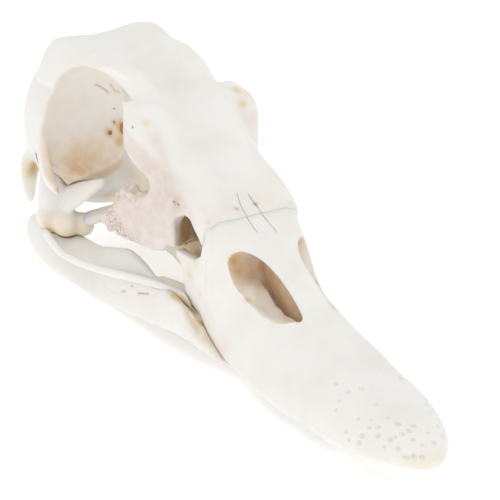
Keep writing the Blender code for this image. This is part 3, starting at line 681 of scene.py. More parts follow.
def makeCranium(quadrate):
    pieces = [swept(part, cranium, ring, part) for part, ring in (
        ("roof", roofRing), ("braincase", braincaseRing), ("septum", septumRing))]
    pieces += [rodOf(cranium, "rostrum"), ballOf(cranium, "base"), ballOf(cranium, "condyle")]
    pieces += bothSides(rodOf(cranium, "earWing")) + bothSides(lacrimalBody("lacrimal"))
    outline = [(x, -y) for x, y in lacrimal["antorbitalOutline"]]
    antorbital = plate("antorbital", outline, lacrimal["antorbitalBottom"], lacrimal["antorbitalTop"], "Z")
    for vertex in antorbital.data.vertices:
        if vertex.co.z < lacrimal["antorbitalTop"]:
            vertex.co.z += lacrimal["antorbitalRise"] * abs(vertex.co.y)
    pieces += bothSides(antorbital) + bothSides(rodOf(cranium, "postorbital"))
    hollows = [ballOf(cranium, "foramenMagnum")]
    hollows += [ballOf(cranium, part, side) for side in (1, -1) for part in ("orbit", "ear", "jawRecess")]
    tips = bothSides(rodOf(cranium, "postorbitalTip"))
    bone = grownTogether("craniumBody", pieces, hollows, cranium["softReach"], tips)
    clearOf(bone, bothSides(copyOf(quadrate, "quadrateCopy")))
    points = pointsOf(bone)
    flat = points * (1.0, 0.0, 1.0)
    edge = np.array([(x, 0.0, z) for x, z in lacrimal["raggedEdge"]])
    away = distanceTo(flat, edge, lacrimal["raggedLimit"])
    weights = np.exp(-(away / lacrimal["raggedReach"]) ** 2) * (np.abs(points[:, 1]) > lacrimal["raggedSide"])
    roughen(bone, lacrimal["raggedSize"], lacrimal["raggedHeight"], weights)
    top = hinge["front"] - whole["seam"] / 2
    foot = hinge["foot"] - whole["seam"] / 2
    behind = [(top, far), (top, hinge["bend"]), (foot, hinge["footHeight"]), (foot, -far),
              (-far, -far), (-far, far)]
    return region(bone, "cranium", behind)


# Quadrate, the bone that the lower jaw hangs from
quadrateSizes = {
    "earLine": [
        (-53.2, -11.7, -5.4, 2.1), (-51.6, -12.0, -9.0, 2.1), (-50.2, -12.4, -12.6, 2.8),
        (-49.6, -12.3, -15.4, 3.3),
    ],
    "frontLine": [(-47.4, -11.6, -13.2, 3.2), (-43.8, -9.8, -10.6, 2.3), (-40.0, -7.6, -7.6, 0.7)],
    "frontHalfThickness": 1.0,
    "frontThinAxis": (0.5, 0.8, 0.0),
    "softReach": 0.6,
    "condyles": [
        ((-48.8, -14.0, -16.6), (3.4, 2.2, 2.3)),
        ((-45.8, -12.2, -16.6), (3.4, 2.8, 2.5)),
        ((-43.8, -9.8, -16.8), (2.5, 1.9, 2.1)),
    ],
}


def makeQuadrate():
    pieces = [rodOf(quadrateSizes, "ear"), rodOf(quadrateSizes, "front")]
    for centre, radii in quadrateSizes["condyles"]:
        pieces.append(ball("quadrateCondyle", centre, radii))
    return grownTogether("quadrateRight", pieces, [], quadrateSizes["softReach"])


quadrateRight = makeQuadrate()
craniumBone = makeCranium(quadrateRight)
print("cranium and quadrates shaped")


# Upper bill
bill = {
    # half width, height of its edge, width of its ridge, top, and how full its shoulder and its flank are
    "sizes": [
        (-2.0, 8.6, -19.4, 8.2, 0.5, 7.0, 7.0),
        (0.5, 8.8, -21.4, 8.1, -0.3, 6.0, 6.0),
        (3.0, 9.1, -22.3, 7.6, -1.3, 4.4, 3.8),
        (6.5, 9.3, -22.3, 6.4, -2.5, 2.7, 2.3),
        (10.0, 9.4, -22.4, 5.3, -3.8, 1.85, 1.65),
        (14.0, 9.6, -22.5, 3.8, -5.2, 1.5, 1.4),
        (18.5, 9.9, -22.6, 3.3, -7.1, 1.4, 1.3),
        (23.0, 10.0, -22.8, 3.7, -9.6, 1.65, 1.45),
        (31.0, 9.8, -22.7, 3.8, -12.9, 2.1, 1.9),
        (40.0, 9.4, -22.4, 4.0, -14.6, 2.2, 2.0),
        (47.0, 8.4, -21.8, 3.6, -15.8, 2.2, 2.0),
        (52.0, 6.6, -21.5, 2.6, -17.5, 2.2, 2.0),
        (55.2, 4.6, -21.4, 1.6, -19.2, 2.2, 2.0),
        (57.7, 1.6, -21.5, 0.5, -20.8, 2.2, 2.0),
    ],
    "baseOutline": [
        (-1.4, -0.8), (0.6, -0.8), (1.6, -8.0), (2.4, -21.6), (0.9, -21.8), (0.2, -20.4), (-1.1, -19.0),
        (-2.4, -17.8), (-4.4, -17.2), (-6.2, -17.4), (-7.4, -16.6), (-7.8, -14.4), (-7.9, -12.2),
        (-9.2, -10.9), (-10.8, -10.2), (-10.2, -8.8), (-7.4, -8.6), (-4.0, -8.2), (-2.2, -6.9), (-1.4, -4.6),
    ],
    "wallHalfThickness": 0.9,
    "wallSide": 8.1,
    "span": (-2.0, 57.7, 0.6),              # first place, last place and step
    "points": (64, 31),                     # over its top and under it
    "flatShare": 0.55,      # how much of the ridge is flat
    "curveSteps": 6,        # to each point of the nostril's outline
    "nostrilOutline": [
        (22.6, -9.4), (20.9, -8.1), (18.6, -6.8), (15.9, -5.5), (12.6, -4.3), (9.8, -3.5), (7.6, -3.3),
        (6.1, -3.9), (5.4, -6.0), (6.4, -8.2), (8.4, -10.2), (11.2, -11.8), (14.7, -12.3), (18.4, -12.3),
        (21.4, -11.0),
    ],
    # cuts through the nostril, from outside the bill to the wall in the middle
    "nostrilSides": [20.0, 9.5] + [8.4 - 0.3 * number for number in range(25)] + [0.72, 0.6],
    "nostrilSlope": 0.38,
    "nostrilLevelSide": 5.0,
    # floor inside the nostril: its height near the rim and at its crest beside the middle wall
    "noseFloorSizes": [
        (3.0, -5.0, -8.8), (5.5, -6.6, -9.3), (7.2, -8.0, -9.5), (9.2, -9.3, -10.0), (10.9, -10.3, -10.8),
        (12.5, -10.8, -12.0), (15.2, -11.1, -12.2), (18.1, -11.1, -11.7), (22.0, -9.6, -10.9),
    ],
    "noseFloorSpan": (3.0, 22.0, 0.4),
    "noseFloorSides": (9.6, 2.1, 1.7),      # rim, crest and the foot of the crest, from the middle
    "noseFloorDepth": 6.0,
    "noseFloorGrain": 0.2,
    "noseFloorSoft": 0.4,
    "noseFloorWaves": (2.5, 0.5),           # size and height
    "pocketCentre": (-2.4, -4.1, -9.0),
    "pocketRadii": (4.4, 2.9, 6.6),
    "palateSpan": (-10.0, 55.6, 1.2),
    "palateDepth": 2.3,
    "palateShare": 0.45,    # at most so much of the bill's height
    "palateFoot": 6.0,
    "palatePower": 5.0,
    "palateLeast": 0.4,
    "softReach": 0.7,
    "edgeDrop": 0.8,
    "edgeThickness": 1.5,
}


def billRing(place, width, edge, ridgeWidth, top, shoulder, flank):
    flat = ridgeWidth / width * bill["flatShare"]
    points = []
    over, below = bill["points"]
    for number in range(over + 1):
        side = -1.0 + 2.0 * number / over
        fall = max(0.0, (abs(side) - flat) / (1 - flat))
        share = (1.0 - fall ** shoulder) ** (1.0 / flank)
        points.append((place, side * width, edge + (top - edge) * share))
    for number in range(1, below):
        side = 1.0 - 2.0 * number / below
        points.append((place, side * width, edge - bill["edgeDrop"]))
    return np.array(points)


def noseFloorRing(place, high, low):
    outer, crest, foot = bill["noseFloorSides"]
    deep = low - bill["noseFloorDepth"]
    corners = [(-outer, deep), (-outer, high), (-crest, low), (-foot, deep)]
    return np.array([(place, *corner) for corner in corners])


def palateRing(place):
    width, edge, top = between(bill["sizes"], place)[[0, 1, 3]]
    inner = max(width - bill["edgeThickness"], bill["palateLeast"])
    depth = min(bill["palateDepth"], (top - edge) * bill["palateShare"])
    return ovalRing(place, inner, edge + depth, edge - bill["palateFoot"], bill["palatePower"])


def makeBill():
    body = swept("billBody", bill, billRing)
    side = bill["wallSide"]
    thick = bill["wallHalfThickness"]
    walls = bothSides(evenFaces(plate("billWall", bill["baseOutline"], -side - thick, -side + thick), grain))
    outline = closedCurve(bill["nostrilOutline"], bill["curveSteps"])
    rings = []
    for side in bill["nostrilSides"]:
        # the nostril slopes down towards the wall in the middle
        drop = bill["nostrilSlope"] * (side - bill["nostrilLevelSide"])
        rings.append(np.column_stack([outline[:, 0], np.full(len(outline), -side), outline[:, 1] + drop]))
    nostril = loft("nostril", rings)
    noseFloor = evenFaces(swept("noseFloor", bill, noseFloorRing, "noseFloor"), bill["noseFloorGrain"])
    soften(noseFloor, bill["noseFloorSoft"])
    boolean(nostril, roughen(noseFloor, *bill["noseFloorWaves"]), "DIFFERENCE")
    hollows = bothSides(keepLargest(nostril))
    pockets = bothSides(ballOf(bill, "pocket"))
    palate = loft("palate", [palateRing(place) for place in places(*bill["palateSpan"])])
    bone = grownTogether("billBone", [body] + walls, [palate] + pockets, bill["softReach"])
    # kept for the nostrils' stain and painted shade, before the nostrils are cut
    bill["skin"] = BVHTree.FromObject(bone, bpy.context.evaluated_depsgraph_get())
    for hollow in hollows:
        boolean(bone, hollow, "DIFFERENCE")
    half = whole["seam"] / 2
    top = hinge["front"] + half
    shelf, shelfHeight = hinge["shelf"]
    end, endHeight = hinge["shelfEnd"]
    ahead = [(top, far), (top, hinge["bend"]), (shelf + half, shelfHeight), (end, endHeight), (end, -far),
             (far, -far), (far, far)]
    return region(bone, "upperBill", ahead)


billBone = makeBill()
print("upper bill shaped")


# Lower jaw, whose two sides and front end are one bone in an adult
jaw = {
    # how far its foot and its top stand from the middle, top, bottom and half thickness
    "sideSizes": [
        (-56.0, 14.6, 14.3, -19.4, -21.2, 0.7),
        (-54.8, 14.7, 14.0, -17.8, -22.6, 1.2),
        (-52.8, 14.4, 13.2, -17.6, -24.4, 1.9),
        (-48.6, 13.8, 12.2, -18.0, -25.6, 3.0),
        (-44.6, 13.7, 11.2, -18.8, -26.0, 2.5),
        (-38.0, 13.7, 9.9, -18.6, -26.0, 1.5),
        (-32.0, 13.4, 9.4, -16.9, -25.8, 1.2),
        (-26.0, 13.1, 9.4, -15.0, -25.2, 1.1),
        (-20.0, 12.7, 9.8, -15.1, -24.5, 1.1),
        (-15.0, 12.3, 10.3, -15.7, -23.8, 1.1),
        (-10.0, 11.8, 10.6, -15.6, -23.0, 1.0),
        (-5.0, 11.3, 10.6, -16.6, -22.4, 1.0),
        (-1.0, 10.4, 9.8, -19.0, -22.7, 1.2),
        (2.0, 9.4, 8.7, -20.8, -23.3, 1.5),
        (5.0, 8.5, 7.8, -21.4, -23.7, 1.6),
        (8.0, 7.5, 7.0, -21.6, -23.9, 1.5),
        (13.0, 6.7, 6.5, -21.4, -24.0, 1.1),
        (22.0, 6.2, 6.2, -21.0, -24.0, 1.3),
        (34.0, 6.2, 6.2, -21.0, -24.0, 1.5),
        (42.0, 5.6, 5.6, -21.0, -24.2, 1.9),
    ],
    "sideSpan": (-56.0, 44.0, 0.8),
    "sidePoints": 32,
    "sidePower": 8 / 3,
    "shelfLine": [
        (-15.0, -9.8, -16.3, 1.2), (-9.0, -8.6, -17.2, 2.4), (-3.0, -7.8, -19.0, 2.8),
        (2.0, -7.2, -20.6, 2.2), (7.0, -6.6, -21.6, 1.4),
    ],
    "shelfHalfThickness": 0.6,
    "shelfThinAxis": (0.0, -0.45, 0.9),
    "tipSpan": (38.0, 54.6, 0.6),
    "tipPoints": 32,
    "keelShare": 0.55,      # of the half width
    "softReach": 0.6,
    # half width, top, and bottom at the sides and under the keel
    "tipSizes": [
        (38.0, 7.3, -21.4, -23.8, -24.4),
        (42.0, 7.0, -21.3, -23.8, -26.0),
        (46.0, 6.2, -21.2, -23.6, -26.0),
        (50.0, 4.6, -21.0, -23.2, -24.6),
        (53.0, 2.8, -20.9, -22.8, -23.4),
        (54.6, 1.2, -20.9, -22.4, -22.6),
    ],
}


def jawRing(place, lowSide, highSide, top, bottom, thick):
    points = []
    for across, up in squaredOval(jaw["sidePoints"], jaw["sidePower"]):
        side = lowSide + (highSide - lowSide) * (up + 1) / 2
        points.append((place, -side + across * thick, (top + bottom) / 2 + up * (top - bottom) / 2))
    return np.array(points)


def tipRing(place, width, top, sideBottom, bottom):
    shares = [2.0 * number / jaw["tipPoints"] - 1.0 for number in range(jaw["tipPoints"] + 1)]
    ring = [(place, share * width, top) for share in shares]
    for share in reversed(shares):
        keel = max(0.0, 1 - (share / jaw["keelShare"]) ** 2)
        ring.append((place, share * width, sideBottom + (bottom - sideBottom) * keel))
    return np.array(ring)


def makeJaw():
    pieces = bothSides(swept("jawSide", jaw, jawRing, "side")) + bothSides(rodOf(jaw, "shelf"))
    pieces.append(swept("jawTip", jaw, tipRing, "tip"))
    low = whole["floor"]
    below = [(-far, low - far), (far, low - far), (far, low), (-far, low)]
    floorBlock = plate("floorBlock", below, -far, far)
    bone = grownTogether("lowerJaw", pieces, [floorBlock], jaw["softReach"])
    return boolean(bone, floorBlock, "DIFFERENCE")      # once more, for crisp edges where it rests


# Slender bones of the palate and cheek
slender = {
    "jugalLine": [
        (-3.6, -8.6, -16.9, 1.1), (-7.4, -9.4, -16.4, 0.95), (-12.0, -10.9, -16.0, 0.8),
        (-17.0, -12.0, -16.6, 0.8), (-23.0, -13.0, -17.8, 0.8), (-30.0, -14.0, -19.2, 0.8),
        (-37.0, -15.0, -20.1, 0.8), (-42.0, -15.6, -20.0, 0.85), (-47.0, -15.8, -18.4, 1.0),
    ],
    "jugalHalfThickness": 0.65,
    "palatineOutline": [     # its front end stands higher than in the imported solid
        (-3.4, -6.6), (-8.0, -6.9), (-12.0, -8.6), (-17.0, -11.5), (-23.0, -11.5), (-31.0, -11.3),
        (-37.6, -11.9), (-38.2, -12.9), (-33.0, -13.7), (-26.0, -13.9), (-18.0, -14.0), (-14.2, -14.4),
        (-12.4, -15.4), (-9.0, -16.0), (-3.4, -16.4),
    ],
    "palatineSide": [(-39.0, 3.1), (-30.0, 4.1), (-20.0, 4.8), (-13.0, 5.0), (-5.0, 5.2), (3.0, 5.2)],
    "palatineHalfThickness": 0.75,
    "pterygoidLine": [(-38.4, -2.7, -12.7, 1.5), (-40.4, -4.6, -13.9, 1.9), (-43.4, -8.9, -15.8, 2.4)],
    "pterygoidHalfThickness": 1.15,
    "pterygoidThinAxis": (0.0, 0.0, 1.0),
    "vomerLine": [
        (-7.0, 0.0, -12.2, 1.2), (-13.0, 0.0, -13.3, 2.3), (-20.0, 0.0, -13.4, 2.4), (-29.0, 0.0, -12.2, 1.2),
    ],
    "vomerHalfThickness": 0.5,
    "vomerSoft": 0.3,
    "softReach": 0.4,
    "closeGap": 0.02,       # where bones lie tight against each other
}


def refined(item, reach=slender["softReach"]):
    evenFaces(item, grain)
    return keepLargest(soften(item, reach))


jugalRight = refined(rodOf(slender, "jugal", "jugalRight"))
clearOf(jugalRight, [quadrateRight, billBone])
jawBone = makeJaw()
clearOf(jawBone, bothSides(copyOf(quadrateRight, "quadrateNear")))
clearOf(jawBone, bothSides(copyOf(jugalRight, "jugalNear")) + [billBone], slender["closeGap"])
pterygoidRight = refined(rodOf(slender, "pterygoid", "pterygoidRight"))
clearOf(pterygoidRight, [quadrateRight], slender["closeGap"])
thick = slender["palatineHalfThickness"]
palatineRight = refined(plate("palatineRight", slender["palatineOutline"], -thick, thick))
setSideways(palatineRight, slender["palatineSide"])
clearOf(palatineRight, [billBone, pterygoidRight, craniumBone])
vomer = refined(rodOf(slender, "vomer"), slender["vomerSoft"])
clearOf(vomer, [craniumBone, billBone])
print("lower jaw and slender bones shaped")


# Marks that the photograph shows, each placed by the pixels where it is seen and repeated on the other side
holes = [
    # nerve and vessel holes: bone, pixel, radii across, up and into the bone, in mm
    ("cranium", (110, 132.6), (0.42, 0.46, 1.3)),
    ("cranium", (122.5, 128), (0.6, 1.15, 1.0)),
    ("cranium", (114, 122), (0.24, 0.2, 0.6)),
    ("cranium", (114, 109), (0.3, 0.14, 0.5)),
    ("cranium", (132.6, 127), (0.2, 0.26, 0.7)),
    ("cranium", (174, 202), (0.26, 0.18, 0.5)),
    ("cranium", (178.5, 204.5), (0.3, 0.2, 0.5)),
    ("lowerJaw", (132, 286), (0.34, 0.22, 0.6)),
]
slits = [
    # thin openings either side of the middle of the hinge: pixels, half width and depth in mm
    {"pixels": [(237, 193), (243, 210), (251, 224), (257, 232)], "halfWidth": 0.07, "depth": 0.45},
    {"pixels": [(248, 194), (256, 205), (262, 214), (270, 224), (277, 232)], "halfWidth": 0.1, "depth": 0.5},
]
grooves = [
    # pixels, width and depth in mm; a negative depth is a crest
    {"pixels": [(104, 36), (128, 51), (159, 83), (185, 105), (204, 137), (224, 177), (226, 203)],
     "width": 0.8, "depth": 0.14, "single": True},
    {"pixels": [(150, 112), (165, 160), (190, 190), (205, 218)], "width": 0.9, "depth": 0.2},
    {"pixels": [(96, 85), (102, 88), (108, 93)], "width": 0.2, "depth": 0.45, "tan": 0.5},
    {"pixels": [(111, 85), (114, 90), (119, 92)], "width": 0.18, "depth": 0.35, "tan": 0.4},
    {"pixels": [(70, 149), (80, 141), (93, 136), (106, 131)], "width": 0.7, "depth": -0.3},
    {"pixels": [(98, 273), (104, 283), (112, 290), (135, 296), (158, 294)], "width": 0.22, "depth": 0.1},
    {"pixels": [(138, 293), (143, 293.5), (148, 293.5)], "width": 0.14, "depth": 0.3, "tan": 0.6},
    {"pixels": [(121, 291), (125, 291)], "width": 0.18, "depth": 0.3, "tan": 0.4},
    {"pixels": [(356, 351), (372, 368), (386, 383), (400, 394)], "width": 0.2, "depth": 0.12},
    {"pixels": [(205, 240), (206, 262), (206, 290)], "width": 0.22, "depth": 0.1, "yellow": 0.25},
    {"pixels": [(173, 295), (184, 304), (190, 318), (198, 331)], "width": 0.5, "depth": 0.35, "tan": 0.35},
    {"pixels": [(177, 322), (190, 334), (203, 346)], "width": 0.5, "depth": -0.25},
    {"pixels": [(170, 291), (188, 301), (198, 311), (204, 326), (210, 340), (222, 356), (232, 368)],
     "width": 0.5, "depth": 0.05, "tan": 0.25, "yellow": 0.3},
]
linePoints = 8          # to each pixel of a line
grooveReach = 3.0       # widths from its line to where a groove ends
grooveToneReach = 1.5       # widths that its tone reaches wider
# Spots that show a tone, stains and painted shade among them: pixel across and down, size in mm, and how
# strong its tan, yellow and pink are.
# One that names no bone also reaches over to the next, and a single one has none like it on the other side.
spots = [
    # the tan of this group is painted shade with some stain: the shadowed hollow low in the eye socket, the
    # underside of the rostrum and the arch in front of the eye
    {"bone": "cranium", "single": False, "rows": [
        (82, 178, 4.0, 0.4, 0, 0), (95, 186, 1.8, 0.35, 0, 0), (67, 182, 1.8, 0.3, 0, 0),
        (75, 189, 1.2, 0.3, 0, 0), (108, 195, 1.4, 0.5, 0, 0), (118, 199, 1.2, 0.4, 0, 0),
        (182, 232, 1.2, 0.2, 0, 0),
    ]},
    {"bone": "", "single": False, "rows": [
        # tan on the nerve holes and at the hinge slit is painted shade, and the yellow along the lower edge of
        # the sheet between the eye sockets is painted warm shade
        (110, 132.6, 0.8, 0.9, 0, 0), (122.5, 128, 1.5, 0.9, 0, 0), (114, 122, 0.5, 0.6, 0, 0),
        (119, 141, 1.0, 0.45, 0.5, 0), (92, 148, 2.6, 0, 0.3, 0), (72, 157, 2.0, 0, 0.25, 0),
        (128, 187, 0.8, 0, 0.6, 0), (136, 192, 0.9, 0, 0.6, 0), (145, 196, 0.7, 0, 0.5, 0),
        (146, 123, 0.8, 0, 0.6, 0), (176, 203, 0.8, 0.45, 0, 0), (172, 205, 3.0, 0, 0, 0.2),
        (133, 212, 4.5, 0, 0, 0.2), (195, 263, 0.9, 0, 0.4, 0), (200, 294, 0.6, 0, 0.4, 0),
        (209, 222, 0.5, 0, 0.5, 0), (230, 212, 3.0, 0, 0.12, 0), (255.5, 204, 0.45, 0.9, 0, 0),
        (34, 170, 1.3, 0.6, 0.6, 0), (58, 190, 0.45, 0.7, 0, 0), (60, 175, 1.0, 0, 0.3, 0),
        (183, 301, 0.9, 0.3, 0.2, 0), (192, 312, 1.0, 0.25, 0.4, 0), (198, 324, 0.9, 0.25, 0.4, 0),
        (204, 338, 0.7, 0.25, 0, 0), (440, 462, 2.2, 0, 0.12, 0),
        (250, 120, 2.0, 0, 0, 0.3), (190, 275, 1.2, 0.12, 0.2, 0), (415, 467, 1.8, 0, 0.2, 0),
        (34, 165, 1.6, 0.5, 0.4, 0), (244, 291, 0.8, 0.3, 0, 0),
        (248, 300, 0.6, 0.45, 0, 0), (241, 272, 1.0, 0.3, 0.3, 0), (234, 258, 1.0, 0.4, 0.4, 0),
        (285, 321, 1.4, 0, 0.35, 0), (274, 321, 1.2, 0, 0.25, 0), (222, 352, 2.2, 0, 0, 0.2),
        (226, 340, 2.6, 0, 0, 0.12),
    ]},
    {"bone": "quadrate", "single": False, "rows": [
        (48, 226, 1.8, 0.3, 0.3, 0), (58, 236, 1.8, 0.5, 0.3, 0), (74, 238, 1.9, 0.5, 0.2, 0),
        (60, 226, 3.4, 0, 0.22, 0),
        (84, 226, 2.6, 0.18, 0.2, 0), (100, 214, 2.2, 0.12, 0.2, 0),
    ]},
    {"bone": "", "single": True, "rows": [
        (236, 90, 0.9, 0.25, 0.3, 0), (244, 104, 0.8, 0.2, 0.25, 0),
    ]},
]
billPits = {
    # nerve pits of the bill tip
    "pixels": [
        (336, 384), (348, 392), (362, 389), (339, 401), (336, 410), (376, 405), (358, 419), (371, 420),
        (388, 418), (398, 424), (414, 426), (369, 428), (378, 427), (409, 431), (402, 434), (362, 436),
        (346, 432), (378, 436), (390, 440), (395, 437), (413, 440), (349, 440), (359, 443), (422, 445),
        (434, 443), (414, 456), (403, 456), (422, 457), (407, 458), (384, 447), (398, 449), (428, 433),
    ],
    "radii": (0.34, 0.55),   # mm, the smallest and the largest
    "lift": 0.12,           # how far their centres stand out, as a share of the radius
    "singleSide": 4.0,      # pits nearer to the middle have none like them on the other side
    "seed": 5,
}


def searchTree(items):
    # all that the camera sees, as one surface to look for places on
    view = joined("view", [copyOf(item, item.name + "View") for item in items])
    tree = BVHTree.FromObject(view, bpy.context.evaluated_depsgraph_get())
    bpy.data.objects.remove(view, do_unlink=True)
    return tree


def seen(tree, across, down):
    sideways = (across - eye["half"]) / eye["focal"]
    lift = (eye["half"] - down) / eye["focal"]
    ray = (eye["right"] * sideways + eye["up"] * lift - eye["back"]).normalized()
    return tree.ray_cast(eye["place"], ray)[:2]


def lineSeen(tree, pixels):
    hits = [seen(tree, *pixel)[0] for pixel in pixels]
    line = curveThrough([tuple(hit) for hit in hits if hit is not None], linePoints * len(pixels))
    return np.array([tree.find_nearest(Vector(point))[0] for point in line])


def acrossSkull(line):
    return np.asarray(line) * (1.0, -1.0, 1.0)


def pierce(item, name):
    cutters = []
    for owner, pixel, radii in holes:
        if owner == name:
            place, normal = seen(sight, *pixel)
            cutters += bothSides(ball("hole", place, radii, normal))
    for slit in slits if name in ("cranium", "upperBill") else []:
        line = [(*point, slit["depth"]) for point in lineSeen(sight, slit["pixels"])]
        cutters.append(rod("slit", line, slit["halfWidth"], sides=12, count=24))
    if name == "upperBill":
        dice = np.random.default_rng(billPits["seed"])
        for pixel in billPits["pixels"]:
            place, normal = seen(sight, *pixel)
            radius = dice.uniform(*billPits["radii"])
            pit = ball("pit", place + normal * radius * billPits["lift"], (radius,) * 3)
            cutters += bothSides(pit) if place.y < -billPits["singleSide"] else [pit]
    for cutter in cutters:
        boolean(item, cutter, "DIFFERENCE")


toneNames = ("tan", "yellow", "pink", "rust")      # in the order of a spot's strengths


def addTone(item, tone, values):
    # a tone is a number at every vertex that the material turns into colour
    layer = item.data.attributes.get(tone) or item.data.attributes.new(tone, "FLOAT", "POINT")
    present = np.zeros(len(values))
    layer.data.foreach_get("value", present)
    layer.data.foreach_set("value", np.clip(present + values, 0.0, 1.0))


def fade(values, start, end):
    # 0 at the start and 1 at the end, smooth in between
    share = np.clip((values - start) / (end - start), 0.0, 1.0)
    return share * share * (3 - 2 * share)


def carveStainAndShade(item):
    points = pointsOf(item)
    normals = normalsOf(item)
    moved = points.copy()
    tones = {tone: np.zeros(len(points)) for tone in toneNames}
    for groove in grooves:
        line = lineSeen(sight, groove["pixels"])
        for way in [line] if groove.get("single") else [line, acrossSkull(line)]:
            away = distanceTo(points, way, grooveReach * groove["width"]) / groove["width"]
            moved -= normals * (groove["depth"] * np.exp(-away ** 2))[:, None]
            for tone in tones:
                tones[tone] += groove.get(tone, 0.0) * np.exp(-(away / grooveToneReach) ** 2)
    for group in spots:
        for across, down, size, *strengths in group["rows"] if item.name.startswith(group["bone"]) else []:
            place = np.array(seen(sight, across, down)[0])
            for centre in [place] if group["single"] else [place, acrossSkull(place)]:
                share = np.exp(-(np.linalg.norm(points - centre, axis=1) / size) ** 2)
                for tone, strength in zip(tones, strengths):
                    tones[tone] += strength * share
    movePoints(item, moved)
    for tone, values in tones.items():
        addTone(item, tone, values)


# Stains and painted shade that fill a place rather than a spot. Their limits each give an axis, where the tone
# has faded out and where it is full; y counts from the middle to either side.
palateSheet = [("x", -44.0, -40.0), ("x", -18.0, -20.0), ("y", 7.0, 5.0), ("z", -16.0, -14.0),
               ("z", 4.0, 0.0)]
stainsAndShade = [
    # the yellow on the sheet between the eye sockets, and more along its lower edge, is painted warm shade
    {"bone": "cranium", "yellow": 0.1, "limits": palateSheet},
    {"bone": "cranium", "yellow": 0.25, "limits": palateSheet + [("z", -5.5, -7.5)]},
    # the cavity behind the arch in front of the eye, and what is seen through it, tan as painted shade with
    # some stain
    {"bone": "cranium", "tan": 0.45, "yellow": 0.5,
     "limits": [("x", -18.0, -16.0), ("x", -3.0, -5.0), ("y", 8.6, 7.8), ("z", 0.0, -1.5)]},
    # the palatine's front and the bill's inside by the hinge, seen through that arch, get the same tan painted
    # shade with some stain
    {"bone": "palatine", "tan": 0.5, "yellow": 0.45, "limits": [("x", -17.0, -13.0)]},
    {"bone": "upperBill", "tan": 0.25, "yellow": 0.3,
     "limits": [("x", 2.5, 0.0), ("y", 8.2, 7.8), ("z", -1.5, -3.5)]},
]
orbitStainAndShade = {
    # beige stain, darkened towards the floor of the eye socket by painted shade, and paler in front
    "reach": 0.45,          # mm into the bone around the socket
    "edge": (0.93, 1.06),   # of the socket's size, from full to none
    "corner": [("y", 8.0, 5.0), ("x", -34.0, -41.0), ("z", -3.5, -7.0)],
    "cornerReach": 0.3,     # it reaches farther in that corner, low at the rear, as painted shade
    "tan": 0.09,
    "deep": [("z", 3.0, -7.0)],
    "deepTan": 0.25,
    "front": [("x", -38.0, -30.0)],
    "frontFade": 0.6,
}
lacrimalStain = {
    # pink below the brow and rust where the bone is most porous
    "brow": [(-26.0, 13.0), (-21.0, 11.5), (-16.0, 7.5), (-9.0, 3.8), (-2.0, 0.5)],
    "browFade": (-1.2, 1.6),
    "outside": [("y", 7.6, 8.6)],
    "pinkLimits": [("x", -34.0, -32.0), ("x", -1.0, -5.0)],
    "pink": 0.5,
    "rustLine": [(-29.0, 0.0, -6.0), (-27.0, 0.0, -10.0), (-20.0, 0.0, -12.0)],
    "rustReach": 6.0,
    "rustFade": (4.5, 0.5),
    "rust": 0.8,
}
nostrilStainAndShade = {
    # the rear, the roof and the wall between the nostrils are tan, painted shade with some stain, and the
    # floor is cream
    "span": (4.0, 24.0),    # of both nostrils
    "skinFade": (0.08, 0.25),               # mm below the skin that the bill had before they were cut
    "wallFade": (2.0, 1.6),                 # from the middle
    "rear": [("x", 10.0, 6.0)],
    "roofStart": (5.4, -5.9),
    "roofFall": 0.2,
    "roofFade": (-0.6, 0.6),
    "tan": 0.5,
    "wallTan": 0.68,
    "farTan": 0.25,         # share of it in the far nostril, which is painted paler
    "floorYellow": 0.08,
}


def sidesOf(item):
    points = pointsOf(item)
    return points[:, 0], np.abs(points[:, 1]), points[:, 2]


def within(sides, limits):
    # how far each point lies inside all limits, from 0 to 1
    share = 1.0
    for axis, start, end in limits:
        share = share * fade(sides["xyz".index(axis)], start, end)
    return share


def stainAndShadePlaces(item):
    sides = sidesOf(item)
    # each adds stain and painted shade to the bones it names
    for stainAndShade in stainsAndShade:
        for tone in toneNames:
            if item.name.startswith(stainAndShade["bone"]) and tone in stainAndShade:
                addTone(item, tone, stainAndShade[tone] * within(sides, stainAndShade["limits"]))


def stainAndShadeOrbit(item):
    sides = sidesOf(item)
    centre = np.array(cranium["orbitCentre"]) * (1.0, -1.0, 1.0)
    radii = np.array(cranium["orbitRadii"]) + orbitStainAndShade["reach"]
    share = np.sum(((np.column_stack(sides) - centre) / radii) ** 2, axis=1)
    share -= orbitStainAndShade["cornerReach"] * within(sides, orbitStainAndShade["corner"])
    inside = 1.0 - fade(share, *orbitStainAndShade["edge"])
    # the deeper tan towards the floor and in the low rear corner is painted shade
    depth = orbitStainAndShade["tan"] + orbitStainAndShade["deepTan"] * within(sides, orbitStainAndShade["deep"])
    front = orbitStainAndShade["frontFade"] * within(sides, orbitStainAndShade["front"])
    addTone(item, "tan", inside * depth * (1.0 - front))


def stainLacrimals(item):
    sides = sidesOf(item)
    x, y, z = sides
    brow = np.interp(x, *np.transpose(lacrimalStain["brow"]))
    outside = within(sides, lacrimalStain["outside"]) * fade(brow - z, *lacrimalStain["browFade"])
    addTone(item, "pink", lacrimalStain["pink"] * outside * within(sides, lacrimalStain["pinkLimits"]))
    flat = np.column_stack([x, 0.0 * y, z])
    away = distanceTo(flat, np.array(lacrimalStain["rustLine"]), lacrimalStain["rustReach"])
    addTone(item, "rust", lacrimalStain["rust"] * outside * fade(away, *lacrimalStain["rustFade"]))


